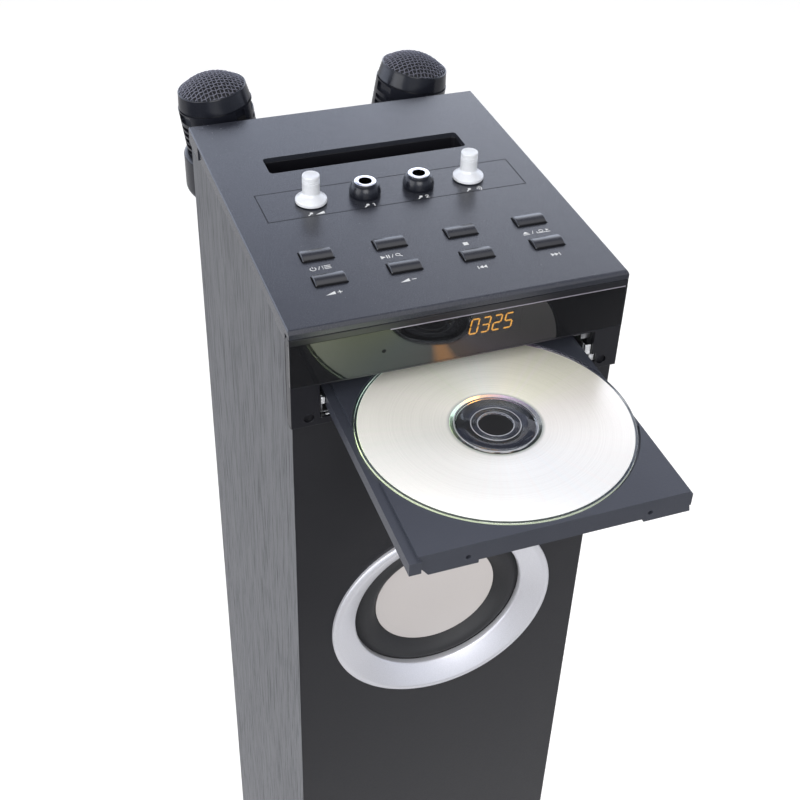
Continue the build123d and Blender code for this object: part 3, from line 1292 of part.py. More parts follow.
def holder_cup(name):
    """An upright cup whose bore leans with the microphone; also gives its middle."""
    rim, along, _ = mic_frame(name)
    cup_bottom = TOP - HOLDER_TOP - HOLDER_HEIGHT
    top_drop = (rim.Z - TOP + HOLDER_TOP) / along.Z
    low_drop = (rim.Z - cup_bottom) / along.Z
    middle = rim - along * (top_drop + low_drop) / 2
    neck_end = COLLAR_HEIGHT + NECK_LENGTH
    with BuildPart() as cup:
        with Locations((middle.X, middle.Y, cup_bottom)):
            Cylinder(HOLDER_RADIUS, HOLDER_HEIGHT, align=(Align.CENTER, Align.CENTER, Align.MIN))
        fillet(cup.edges().group_by(Axis.Z)[0], HOLDER_ROUND)
        fillet(cup.edges().group_by(Axis.Z)[-1], HOLDER_LIP)
    with BuildPart() as bore:
        with BuildSketch(mic_section(name)):
            with BuildLine():
                Polyline(
                    (0, BORE_OVERRUN - top_drop),
                    (body_radius(top_drop - BORE_OVERRUN) + SEAT_GAP, BORE_OVERRUN - top_drop),
                    (NECK_RADIUS + SEAT_GAP, -neck_end),
                    (GRIP_RADIUS + SEAT_GAP, -neck_end - NECK_TAPER),
                    (body_radius(low_drop + BORE_OVERRUN) + SEAT_GAP, -low_drop - BORE_OVERRUN),
                    (0, -low_drop - BORE_OVERRUN),
                    close=True,
                )
            make_face()
        revolve(axis=mic_axis(name))
    return cup.part, bore.part, middle


with BuildPart() as mic_holders:
    for name in SIDES:
        cup_body, cup_bore, middle = holder_cup(name)
        # wall plate and arm, then the cup round the neck
        plate_z = (middle.Z - HOLDER_PLATE_HEIGHT / 2, middle.Z + HOLDER_PLATE_HEIGHT / 2)
        plate_x = (middle.X - HOLDER_PLATE_WIDTH / 2, middle.X + HOLDER_PLATE_WIDTH / 2)
        fill(plate_x, (WOOD_BACK, WOOD_BACK + HOLDER_PLATE), plate_z)
        arm_half = HOLDER_ARM / 2
        fill(
            (middle.X - arm_half, middle.X + arm_half),
            (WOOD_BACK, middle.Y - HOLDER_RADIUS + HOLDER_OVERLAP),
            (middle.Z - arm_half, middle.Z + arm_half),
        )
        add(cup_body)
        add(cup_bore, mode=Mode.SUBTRACT)
save(mic_holders.part, "mic_holders")

# ---------------------------------------------------------------- electrics at the back
with BuildPart() as mains_inlet:
    inlet_z = (INLET_HEIGHT - INLET_TALL / 2, INLET_HEIGHT + INLET_TALL / 2)
    fill(
        (-INLET_WIDTH / 2 + FIT, INLET_WIDTH / 2 - FIT),
        (WOOD_BACK - INLET_DEPTH, WOOD_BACK),
        (inlet_z[0] + FIT, inlet_z[1] - FIT),
    )
    fill(
        (-INLET_WIDTH / 2 - INLET_FRAME, INLET_WIDTH / 2 + INLET_FRAME),
        (WOOD_BACK, WOOD_BACK + INLET_FRAME / 2),
        (inlet_z[0] - INLET_FRAME, inlet_z[1] + INLET_FRAME),
    )
    # figure-of-eight socket for a detachable lead, with its two pins
    socket_plane = Plane.XZ.offset(-WOOD_BACK - INLET_FRAME / 2)
    with BuildSketch(socket_plane):
        with Locations((-PIN_SPREAD, INLET_HEIGHT), (PIN_SPREAD, INLET_HEIGHT)):
            Circle(SOCKET_RADIUS)
    extrude(amount=INLET_SOCKET, mode=Mode.SUBTRACT)
    with BuildSketch(socket_plane.offset(INLET_SOCKET)):
        with Locations((-PIN_SPREAD, INLET_HEIGHT), (PIN_SPREAD, INLET_HEIGHT)):
            Circle(PIN_RADIUS)
    extrude(amount=-PIN_LENGTH)
save(mains_inlet.part, "mains_inlet")

with BuildPart() as amplifier_board:
    amp_z = (TOP - AMP_TOP - AMP_HEIGHT, TOP - AMP_TOP)
    board_back = INNER_BACK - AMP_STANDOFF
    fill((-AMP_WIDTH / 2, AMP_WIDTH / 2), (board_back - PCB, board_back), amp_z)
    for x in (-AMP_WIDTH / 2 + AMP_POST_INSET, AMP_WIDTH / 2 - AMP_POST_INSET):
        for z in (amp_z[0] + AMP_POST_INSET, amp_z[1] - AMP_POST_INSET):
            with Locations(Location((x, INNER_BACK - AMP_STANDOFF / 2, z), (90, 0, 0))):
                Cylinder(POST_RADIUS, AMP_STANDOFF)
    # mains transformer and the heat sink of the power stage
    board_face = board_back - PCB
    for left, rise, (wide, deep, tall) in (
        (TRANSFORMER_LEFT, TRANSFORMER_RISE, TRANSFORMER),
        (HEAT_SINK_LEFT, HEAT_SINK_RISE, HEAT_SINK),
    ):
        low = amp_z[0] + rise
        fill((left, left + wide), (board_face - deep, board_face), (low, low + tall))
save(amplifier_board.part, "amplifier_board")
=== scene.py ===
# %% [markdown]
# # A karaoke tower with a disc tray
# A slim wooden column carries a moulded head with a disc loader, buttons, knobs and a
# slot for a tablet. Two microphones hang in holders at the back. The solids come from
# the CAD frame: this lesson gives them their surfaces and adds the fine pieces that a
# solid modeller leaves out, such as woven mesh, printed signs and the layers of a disc.
# The frame is loaded first. Nothing may grow past it.

# %% Load the frame
import json
import math

import bmesh
import bpy
from mathutils import Matrix, Vector

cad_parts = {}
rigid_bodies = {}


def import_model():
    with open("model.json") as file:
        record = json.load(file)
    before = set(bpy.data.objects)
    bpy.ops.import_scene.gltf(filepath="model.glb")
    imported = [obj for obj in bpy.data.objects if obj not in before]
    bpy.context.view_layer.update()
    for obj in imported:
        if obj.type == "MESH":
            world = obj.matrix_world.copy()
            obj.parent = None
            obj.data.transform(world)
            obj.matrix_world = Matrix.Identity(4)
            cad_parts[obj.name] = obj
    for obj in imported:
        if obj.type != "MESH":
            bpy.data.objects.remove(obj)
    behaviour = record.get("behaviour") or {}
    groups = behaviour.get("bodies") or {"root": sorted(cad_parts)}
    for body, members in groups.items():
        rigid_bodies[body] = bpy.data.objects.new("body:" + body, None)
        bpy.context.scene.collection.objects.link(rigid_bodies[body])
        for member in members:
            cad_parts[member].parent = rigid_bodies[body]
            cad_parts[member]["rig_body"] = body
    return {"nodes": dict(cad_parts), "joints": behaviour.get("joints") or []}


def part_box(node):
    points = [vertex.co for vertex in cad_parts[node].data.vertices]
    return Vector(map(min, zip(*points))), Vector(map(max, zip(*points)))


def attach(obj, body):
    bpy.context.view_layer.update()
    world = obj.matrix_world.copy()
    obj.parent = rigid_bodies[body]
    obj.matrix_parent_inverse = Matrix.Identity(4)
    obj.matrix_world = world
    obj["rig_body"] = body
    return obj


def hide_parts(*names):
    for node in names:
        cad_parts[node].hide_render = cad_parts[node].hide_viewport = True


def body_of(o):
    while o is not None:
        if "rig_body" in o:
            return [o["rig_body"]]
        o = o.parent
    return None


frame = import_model()
NODES = frame["nodes"]
JOINTS = {joint["name"]: joint for joint in frame["joints"]}
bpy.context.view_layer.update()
MM = 0.001

# %% [markdown]
# Every later place hangs on two planes of the frame: the top face of the head and its
# front face. They are read from a node, so the pieces follow when the solids change.

# %% Landmarks
cover_low, cover_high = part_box("top_cover")
TOP = cover_high.z
FRONT = cover_low.y
print(f"head: top at {TOP:.4f} m, front at {FRONT:.4f} m")

# %% [markdown]
# ## Camera and light
# A product shot like this is taken from the left front with a long lens, a little above
# the head. The camera is turned down to the head, so the upright edges converge, and a
# small lens shift sets the tower a little to the right and up.

# %% Camera
CAMERA_PLACE = Vector((-0.18922, -0.49289, 1.21729))
CAMERA_LOOK = Vector((0.29553, 0.72791, -0.61871))
CAMERA_ROLL = math.radians(2.805)
CAMERA_LENS = 58.883
CAMERA_SHIFT = (-0.0280, -0.0200)
CAMERA_NEAR = 0.02


def placed(name, data):
    """A new object in the scene that holds the data."""
    made = bpy.data.objects.new(name, data)
    bpy.context.scene.collection.objects.link(made)
    return made


def turned_along(made, direction, roll=0.0):
    """Turns a camera or a lamp to look along a direction, rolled about it."""
    made.rotation_mode = "QUATERNION"
    spin = Matrix.Rotation(roll, 4, "Z").to_quaternion()
    made.rotation_quaternion = direction.to_track_quat("-Z", "Y") @ spin


def make_camera():
    """A long lens at its place, looking down at the head."""
    data = bpy.data.cameras.new("camera")
    data.lens = CAMERA_LENS
    data.shift_x, data.shift_y = CAMERA_SHIFT
    data.clip_start = CAMERA_NEAR
    made = placed("camera", data)
    made.location = CAMERA_PLACE
    turned_along(made, CAMERA_LOOK, CAMERA_ROLL)
    bpy.context.scene.camera = made


make_camera()
bpy.context.scene.view_settings.view_transform = "Standard"
print("camera lens", CAMERA_LENS)

# %% [markdown]
# Three soft boxes shape the object: one from the left gives the wooden side its sheen, a
# faint one behind and above lays a gradient over the grained top, and one from the front
# lights the speakers and the disc. Large sources keep the shadows soft.

# %% Soft boxes
SOFT_BOXES = {
    "left_box": ((-1.9, -0.5, 1.5), (0.0, 0.0, 0.5), 1.6, 21.5),
    "back_box": ((1.4, 1.9, 2.0), (0.0, 0.1, 0.9), 1.5, 5.0),
    "front_box": ((-0.5, -2.3, 2.1), (0.0, 0.0, 0.6), 1.6, 44.0),
}


def make_soft_box(name, place, target, size, power):
    """A square area light at a place, turned to its target."""
    data = bpy.data.lights.new(name, "AREA")
    data.shape = "SQUARE"
    data.size = size
    data.energy = power
    lamp = placed(name, data)
    lamp.location = place
    turned_along(lamp, Vector(target) - Vector(place))


for box_name, settings in SOFT_BOXES.items():
    make_soft_box(box_name, *settings)
print("soft boxes:", ", ".join(SOFT_BOXES))

# %% [markdown]
# ## Node helpers
# The world and the finishes are node trees. A few small tools keep them short to read:
# one sets or links a socket, and the others add the nodes that turn up everywhere, such
# as maths, noise, a mapped range, a colour ramp and a mix of two colours.

# %% Wiring tools


def wire(tree, source, target):
    """Links one socket to another, or sets the target to a plain number or colour."""
    if isinstance(source, bpy.types.NodeSocket):
        tree.links.new(source, target)
    elif isinstance(source, tuple) and target.type == "RGBA":
        target.default_value = source + (1.0,)
    else:
        target.default_value = source


def add_node(tree, kind, **sources):
    """A new node with some inputs wired. An underscore stands for a blank in a name."""
    made = tree.nodes.new(kind)
    for name, source in sources.items():
        wire(tree, source, made.inputs[name.replace("_", " ")])
    return made


def add_socket(tree, name, kind, value=None, way="INPUT"):
    """Adds a socket to a node group's face."""
    made = tree.interface.new_socket(name=name, in_out=way, socket_type=f"NodeSocket{kind}")
    if value is not None:
        made.default_value = value


def calculate(tree, operation, *operands):
    """A maths node. Each operand is a number or an output socket."""
    made = tree.nodes.new("ShaderNodeMath")
    made.operation = operation
    for target, operand in zip(made.inputs, operands):
        wire(tree, operand, target)
    return made.outputs[0]


def product(tree, first, second):
    return calculate(tree, "MULTIPLY", first, second)


def remap(tree, value, low, high, to_low=0.0, to_high=1.0):
    """Maps a range of a value to another range, with clamping."""
    made = tree.nodes.new("ShaderNodeMapRange")
    for target, source in zip(made.inputs, (value, low, high, to_low, to_high)):
        wire(tree, source, target)
    return made.outputs["Result"]


def object_position(tree):
    return tree.nodes.new("ShaderNodeTexCoord").outputs["Object"]


def split_axes(tree, vector):
    """The outputs X, Y and Z of a vector."""
    return add_node(tree, "ShaderNodeSeparateXYZ", Vector=vector).outputs


def joined_axes(tree, **parts):
    """A vector from its parts X, Y and Z; a missing one is nought."""
    return add_node(tree, "ShaderNodeCombineXYZ", **parts).outputs[0]


def noise(tree, vector, scale, detail=2.0, roughness=0.5):
    """A noise texture's value, on a given vector."""
    settings = {"Vector": vector, "Scale": scale, "Detail": detail, "Roughness": roughness}
    return add_node(tree, "ShaderNodeTexNoise", **settings).outputs["Fac"]


def line_noise(tree, along, scale, detail=2.0):
    """Noise along one value, such as an angle or a distance."""
    made = tree.nodes.new("ShaderNodeTexNoise")
    made.noise_dimensions = "1D"
    for name, source in (("W", along), ("Scale", scale), ("Detail", detail)):
        wire(tree, source, made.inputs[name])
    return made.outputs["Fac"]


def blend_colours(tree, mask, first, second):
    """Mixes two colours by a mask. A colour is a tuple or an output socket."""
    made = tree.nodes.new("ShaderNodeMix")
    made.data_type = "RGBA"
    wire(tree, mask, made.inputs["Factor"])
    colour_inputs = [each for each in made.inputs if each.type == "RGBA"]
    for target, source in zip(colour_inputs, (first, second)):
        wire(tree, source, target)
    return [each for each in made.outputs if each.type == "RGBA"][0]


def colour_ramp(tree, factor, stops):
    """A colour ramp. Each stop is a place from nought to one and a colour."""
    made = add_node(tree, "ShaderNodeValToRGB", Fac=factor)
    elements = made.color_ramp.elements
    while len(elements) < len(stops):
        elements.new(0.5)
    for element, (place, colour) in zip(elements, stops):
        element.position = place
        element.color = colour + (1.0,)
    return made.outputs["Color"]


def mirror_ray(tree):
    """One for a ray that a glossy or clear face has sent on, nought for any other."""
    path = tree.nodes.new("ShaderNodeLightPath").outputs
    return calculate(tree, "MAXIMUM", path["Is Glossy Ray"], path["Is Transmission Ray"])


print("wiring tools ready")

# %% [markdown]
# Black plastic shows almost nothing of its own colour: what is seen is the room in its
# thin gloss. So the world has three faces. Rays from the camera meet plain white, mirror
# rays meet a room, and the light that falls on the object is a soft even dome. The room
# is white around the horizon, dark above it and white again overhead, and it is dimmer
# behind the camera than in front of it.

# %% World
ROOM_STRENGTH = 2.5
ROOM_BEHIND_CAMERA = 0.9
ROOM_BLEND = 0.4
LOW_SKY = (0.84, 0.91, 1.09)
MIDDLE_SKY = (0.145, 0.16, 0.235)
HIGH_SKY = (0.97, 0.98, 1.05)
SKIES = ((0.47, LOW_SKY), (0.555, MIDDLE_SKY), (0.80, MIDDLE_SKY), (0.96, HIGH_SKY))
DOME_STRENGTH = 0.54
WHITE = (1.0, 1.0, 1.0)


def background(tree, colour, strength):
    return add_node(tree, "ShaderNodeBackground", Color=colour, Strength=strength).outputs[0]


def chosen(tree, choice, first, second):
    """The first shader where the choice is nought, the second where it is one."""
    made = tree.nodes.new("ShaderNodeMixShader")
    for target, source in zip(made.inputs, (choice, first, second)):
        wire(tree, source, target)
    return made.outputs[0]


def make_world():
    """White for the camera, a shaded room for reflections, an even dome for light."""
    world = bpy.data.worlds.new("studio")
    world.use_nodes = True
    tree = world.node_tree
    tree.nodes.clear()
    direction = split_axes(tree, tree.nodes.new("ShaderNodeTexCoord").outputs["Generated"])
    sky = colour_ramp(tree, direction["Z"], SKIES)
    depth = remap(tree, direction["Y"], -ROOM_BLEND, ROOM_BLEND, ROOM_BEHIND_CAMERA, ROOM_STRENGTH)
    room = background(tree, sky, depth)
    dome = background(tree, WHITE, DOME_STRENGTH)
    unseen = chosen(tree, mirror_ray(tree), dome, room)
    camera_ray = tree.nodes.new("ShaderNodeLightPath").outputs["Is Camera Ray"]
    every_ray = chosen(tree, camera_ray, unseen, background(tree, WHITE, 1.0))
    add_node(tree, "ShaderNodeOutputWorld", Surface=every_ray)
    bpy.context.scene.world = world


make_world()
print("world: dome strength", DOME_STRENGTH)

# %% [markdown]
# ## Shared effects
# A finish is a Principled BSDF with some detail on colour, roughness and bump. Three
# effects turn up in many finishes, so each is a node group with named sockets: the spark
# erosion grain of moulded plastic, soft smudges that break up the gloss, and a light
# dust. They put out masks and values only, and the shader itself stays in the material.

# %% Shared effects


def new_group(name, inputs, outputs):
    """An empty node group with float inputs and outputs; returns tree, entry and exit."""
    tree = bpy.data.node_groups.new(name, "ShaderNodeTree")
    for each, value in inputs.items():
        add_socket(tree, each, "Float", value)
    for each in outputs:
        add_socket(tree, each, "Float", way="OUTPUT")
    return tree, tree.nodes.new("NodeGroupInput").outputs, tree.nodes.new("NodeGroupOutput").inputs


def make_grain_group():
    """Moulded grain: a fine height and a broken-up gloss, both in the same pattern."""
    sizes = {"Scale": 2500.0, "Unevenness": 0.3}
    tree, entry, way_out = new_group("moulded_grain", sizes, ("Height", "Mask"))
    place = object_position(tree)
    fine = noise(tree, place, entry["Scale"], 2.0, 0.6)
    coarse = noise(tree, place, product(tree, entry["Scale"], 0.3), 1.0)
    uneven = product(tree, coarse, entry["Unevenness"])
    wire(tree, calculate(tree, "ADD", fine, uneven), way_out["Height"])
    wire(tree, remap(tree, fine, 0.35, 0.65), way_out["Mask"])
    return tree


def make_smudge_group():
    """Broad soft patches where hands and cloths have changed the gloss."""
    tree, entry, way_out = new_group("smudges", {"Size": 18.0, "Contrast": 0.5}, ("Mask",))
    broad = noise(tree, object_position(tree), entry["Size"], 3.0, 0.55)
    spread = product(tree, entry["Contrast"], 0.5)
    low = calculate(tree, "SUBTRACT", 0.5, spread)
    high = calculate(tree, "ADD", 0.5, spread)
    wire(tree, remap(tree, broad, low, high), way_out["Mask"])
    return tree


def make_dust_group():
    """Specks that gather on faces that look upwards."""
    tree, entry, way_out = new_group("dust", {"Amount": 0.2, "Scale": 900.0}, ("Mask",))
    specks = noise(tree, object_position(tree), entry["Scale"], 1.0)
    threshold = calculate(tree, "SUBTRACT", 0.78, product(tree, entry["Amount"], 0.12))
    spots = remap(tree, specks, threshold, 0.85)
    normal = split_axes(tree, tree.nodes.new("ShaderNodeNewGeometry").outputs["Normal"])
    upward = remap(tree, normal["Z"], 0.5, 1.0)
    wire(tree, product(tree, spots, upward), way_out["Mask"])
    return tree


GRAIN = make_grain_group()
SMUDGES = make_smudge_group()
DUST = make_dust_group()


def use_group(tree, group, **values):
    """Places a shared effect in a material with its own values; returns its outputs."""
    made = tree.nodes.new("ShaderNodeGroup")
    made.node_tree = group
    for name, value in values.items():
        made.inputs[name].default_value = value
    return made.outputs


print("effects:", GRAIN.name, SMUDGES.name, DUST.name)

# %% Material starter


def new_material(name, roughness=0.5, metallic=0.0, specular=0.5):
    """A material with its Principled BSDF ready; returns material, tree and its inputs."""
    made = bpy.data.materials.new(name)
    made.use_nodes = True
    shader = made.node_tree.nodes["Principled BSDF"].inputs
    shader["Roughness"].default_value = roughness
    shader["Metallic"].default_value = metallic
    shader["Specular IOR Level"].default_value = specular
    return made, made.node_tree, shader


def add_bump(tree, shader, height, distance):
    """Feeds a height to the shader's normal. The distance is a real one, in metres."""
    bump = add_node(tree, "ShaderNodeBump", Height=height, Distance=distance)
    wire(tree, bump.outputs["Normal"], shader["Normal"])


def darker(colour, share):
    return tuple(channel * share for channel in colour)


def moulded_plastic(
    name, dark, light, roughness, grain_scale=2500.0, grain_depth=0.00004, dust=0.0, specular=0.5
):
    """Grained plastic: colour and gloss both wander between two values."""
    made, tree, shader = new_material(name, specular=specular)
    grain = use_group(tree, GRAIN, Scale=grain_scale)
    smudge = use_group(tree, SMUDGES, Size=14.0, Contrast=0.6)["Mask"]
    colour = blend_colours(tree, smudge, dark, light)
    if dust > 0:
        specks = use_group(tree, DUST, Amount=dust)["Mask"]
        colour = blend_colours(tree, specks, colour, (0.32, 0.32, 0.32))
    wire(tree, colour, shader["Base Color"])
    gloss = remap(tree, smudge, 0.0, 1.0, *roughness)
    wire(tree, calculate(tree, "MULTIPLY_ADD", grain["Mask"], 0.06, gloss), shader["Roughness"])
    add_bump(tree, shader, grain["Height"], grain_depth)
    return made


print("material starter ready")

# %% [markdown]
# ## Finishes
# The head is moulded in dark grey plastic with a fine even grain. Its front moulding,
# buttons and jacks are blacker and glossier, and the tray is a plain injection-moulded
# black with a slight sheen. One function makes them all, with other values: two colours,
# the range of the roughness, and the scale and depth of the grain.

# %% Plastics
PLASTICS = {
    "cover_grain": ((0.020, 0.022, 0.029), (0.027, 0.029, 0.038), (0.20, 0.27), 2500.0, 0.00004, 0.3),
    "fascia_gloss": ((0.005, 0.005, 0.007), (0.009, 0.009, 0.012), (0.26, 0.34), 1800.0),
    "tray_satin": ((0.030, 0.033, 0.045), (0.042, 0.046, 0.060), (0.30, 0.42), 1500.0),
    "loader_matt": ((0.020, 0.020, 0.021), (0.030, 0.030, 0.031), (0.45, 0.55), 1200.0),
    "button_polish": ((0.010, 0.010, 0.011), (0.016, 0.016, 0.018), (0.16, 0.26), 3000.0, 0.00001),
    "mic_polish": ((0.007, 0.008, 0.012), (0.012, 0.013, 0.019), (0.16, 0.26), 2600.0, 0.00001, 0.0, 0.35),
    "acetal": ((0.66, 0.64, 0.56), (0.74, 0.72, 0.64), (0.38, 0.48), 900.0, 0.00001),
    "soft_rubber": ((0.014, 0.014, 0.015), (0.024, 0.024, 0.025), (0.55, 0.7), 1400.0),
    # Black ink for print, also used as painted shadow in the strips at the front cheeks.
    "black_print": ((0.006, 0.006, 0.007), (0.009, 0.009, 0.010), (0.5, 0.6), 2000.0, 0.000005, 0.0, 0.12),
    "white_print": ((0.72, 0.73, 0.74), (0.82, 0.83, 0.84), (0.5, 0.6), 2600.0, 0.000005),
    "black_board": ((0.006, 0.006, 0.008), (0.011, 0.011, 0.013), (0.30, 0.40), 1100.0, 0.00003),
    "module_grey": ((0.015, 0.015, 0.016), (0.022, 0.022, 0.024), (0.4, 0.5), 1500.0),
    "mesh_foam": ((0.012, 0.012, 0.014), (0.020, 0.020, 0.024), (0.75, 0.9), 700.0, 0.0002),
}
FINISHES = {name: moulded_plastic(name, *values) for name, values in PLASTICS.items()}
print("plastics:", ", ".join(PLASTICS))

# %% [markdown]
# The column is fibreboard under a printed foil. The sides carry black ash: long upright
# pores in a grey-black ground, with a few broader bands where the figure widens. The
# pattern is noise stretched along Z, because the grain runs up the tower.

# %% Black ash foil
GRAIN_STRETCH = 0.035


def ash_foil(name, ground, pore, sheen):
    """Upright wood grain: fine pores over slow bands, with the pores pressed in."""
    made, tree, shader = new_material(name)
    stretched = add_node(
        tree, "ShaderNodeMapping", Vector=object_position(tree), Scale=(1.0, 1.0, GRAIN_STRETCH)
    ).outputs["Vector"]
    bands = noise(tree, stretched, 60.0, 3.0, 0.6)
    pores = noise(tree, stretched, 900.0, 3.0, 0.65)
    fine = noise(tree, stretched, 2600.0)
    pore_mask = remap(tree, pores, 0.52, 0.66)
    fine_mask = remap(tree, fine, 0.4, 0.75, 0.0, 0.45)
    broad = blend_colours(tree, remap(tree, bands, 0.35, 0.68), ground, sheen)
    streaked = blend_colours(tree, pore_mask, broad, pore)
    wire(tree, blend_colours(tree, fine_mask, streaked, pore), shader["Base Color"])
    wire(tree, remap(tree, pore_mask, 0.0, 1.0, 0.40, 0.62), shader["Roughness"])
    add_bump(tree, shader, product(tree, pore_mask, -1.0), 0.00006)
    return made


ASH_GROUND = (0.070, 0.073, 0.081)
ASH_PORE = (0.030, 0.031, 0.034)
ASH_SHEEN = (0.092, 0.096, 0.105)
FINISHES["black_ash"] = ash_foil("black_ash", ASH_GROUND, ASH_PORE, ASH_SHEEN)
print("foil:", FINISHES["black_ash"].name)

# %% [markdown]
# The bright parts are different things: chrome on the jack rims, zinc and bare steel on
# the bent bits of the loader, black steel screws, a metallised skin on the knobs, silver
# lacquer on the speaker rings, and two pale greys that are painted glints, on the disc's
# hub ridges and along the window's upper edge. Metals differ in how they break a
# reflection, so each has its own flake and gloss.

# %% Metals and lacquers


def metal(name, colour, roughness, flake_scale=1500.0, spread=0.08, metallic=1.0):
    """A metal whose gloss and tint vary from flake to flake."""
    made, tree, shader = new_material(name, metallic=metallic)
    flakes = noise(tree, object_position(tree), flake_scale, 2.0, 0.7)
    mask = remap(tree, flakes, 0.3, 0.7)
    wire(tree, blend_colours(tree, mask, darker(colour, 0.86), colour), shader["Base Color"])
    wire(tree, remap(tree, mask, 0.0, 1.0, roughness, roughness + spread), shader["Roughness"])
    add_bump(tree, shader, flakes, 0.000004)
    return made


METALS = {
    "bright_chrome": ((0.80, 0.80, 0.82), 0.06, 800.0, 0.04),
    "zinc_plate": ((0.66, 0.67, 0.66), 0.26, 1200.0, 0.16),
    "clip_steel": ((0.90, 0.91, 0.93), 0.20, 1200.0, 0.08, 0.3),
    "black_steel": ((0.045, 0.045, 0.050), 0.32, 1800.0, 0.1, 0.8),
    "knob_skin": ((0.80, 0.82, 0.86), 0.30, 2200.0, 0.08, 0.1),
    "ring_lacquer": ((0.70, 0.70, 0.74), 0.34, 2600.0, 0.08, 0.45),
    # Painted glint: the hub ridges are pale grey to stand in for the light they catch.
    "moulded_ridge": ((0.46, 0.47, 0.50), 0.22, 2600.0, 0.06, 0.2),
    # Painted highlight: a pale grey for the thin bright line along the window's upper edge.
    "polished_edge": ((0.30, 0.28, 0.33), 0.20, 1800.0, 0.06, 0.2),
    "mesh_wire": ((0.17, 0.17, 0.20), 0.34, 2000.0, 0.1, 0.7),
}
FINISHES.update({name: metal(name, *values) for name, values in METALS.items()})
print("metals and lacquers:", ", ".join(METALS))

# %% [markdown]
# The speaker cone is pressed aluminium with a fine spun finish, and its look comes from
# thousands of tiny turning marks. They follow circles round the driver's axis, so the
# material measures the distance from that axis. Each cone has its own centre, which is a
# value of the function.

# %% Spun cone
CONE_COLOUR = (0.66, 0.62, 0.60)


def ring_distance(tree, centre, across):
    """Distance from an axis through the centre, and the two coordinates across it."""
    shift = tuple(-value for value in centre)
    moved = add_node(tree, "ShaderNodeMapping", Vector=object_position(tree), Location=shift)
    parts = split_axes(tree, moved.outputs["Vector"])
    first, second = (parts[name] for name in across)
    total = calculate(tree, "ADD", product(tree, first, first), product(tree, second, second))
    return calculate(tree, "SQRT", total), first, second


def spun_metal(name, centre, colour, roughness):
    """Concentric turning marks in a soft silver."""
    made, tree, shader = new_material(name, metallic=0.35)
    marks = line_noise(tree, ring_distance(tree, centre, ("X", "Z"))[0], 5200.0, 3.0)
    mask = remap(tree, marks, 0.3, 0.7)
    wire(tree, blend_colours(tree, mask, darker(colour, 0.90), colour), shader["Base Color"])
    wire(tree, remap(tree, mask, 0.0, 1.0, roughness, roughness + 0.08), shader["Roughness"])
    add_bump(tree, shader, marks, 0.000006)
    return made


def middle_of(node):
    low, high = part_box(node)
    return (low + high) / 2


DRIVERS = {level: middle_of(f"{level}_cone") for level in ("upper", "lower")}
for level, centre in DRIVERS.items():
    cone_finish = f"spun_cone_{level}"
    FINISHES[cone_finish] = spun_metal(cone_finish, centre, CONE_COLOUR, 0.42)
print("cones:", ", ".join(DRIVERS))

# %% [markdown]
# A disc is three layers: clear polycarbonate, a mirror of sputtered metal that stops
# short of the hub and the rim, and a thin lacquer. The mirror's colour is pale gold and
# cream in broad rays, lighter and darker by the angle round the hub: its own pale tint
# under a painted sheen that stands in for the light its spiral track spreads. The fine
# track is drawn by the distance from the hub. The track also throws green and amber light
# at the window above it. No renderer bends light at so fine a track, so the mirror glows
# in those colours, for mirror rays alone, as painted light.

# %% Disc finishes
DISC_CENTRE = middle_of("disc")
PATCH_TURN = 0.772
AMBER = (1.0, 0.46, 0.14)


def spread_colours(tree, turn, distance):
    """The colours the track sends to the window above it: green, then an amber patch."""
    fans = (
        (0.00, (0.16, 0.18, 0.12)),
        (0.55, (0.03, 0.03, 0.04)),
        (0.66, (0.10, 0.07, 0.11)),
        (0.72, (0.16, 0.08, 0.05)),
        (0.82, (0.16, 0.18, 0.17)),
        (0.90, (0.16, 0.22, 0.19)),
        (1.00, (0.30, 0.36, 0.18)),
    )
    off_centre = calculate(tree, "ABSOLUTE", calculate(tree, "SUBTRACT", turn, PATCH_TURN))
    narrow = remap(tree, off_centre, 0.012, 0.034, 1.0, 0.0)
    near = remap(tree, distance, 0.034, 0.042, 1.0, 0.0)
    return blend_colours(tree, product(tree, narrow, near), colour_ramp(tree, turn, fans), AMBER)


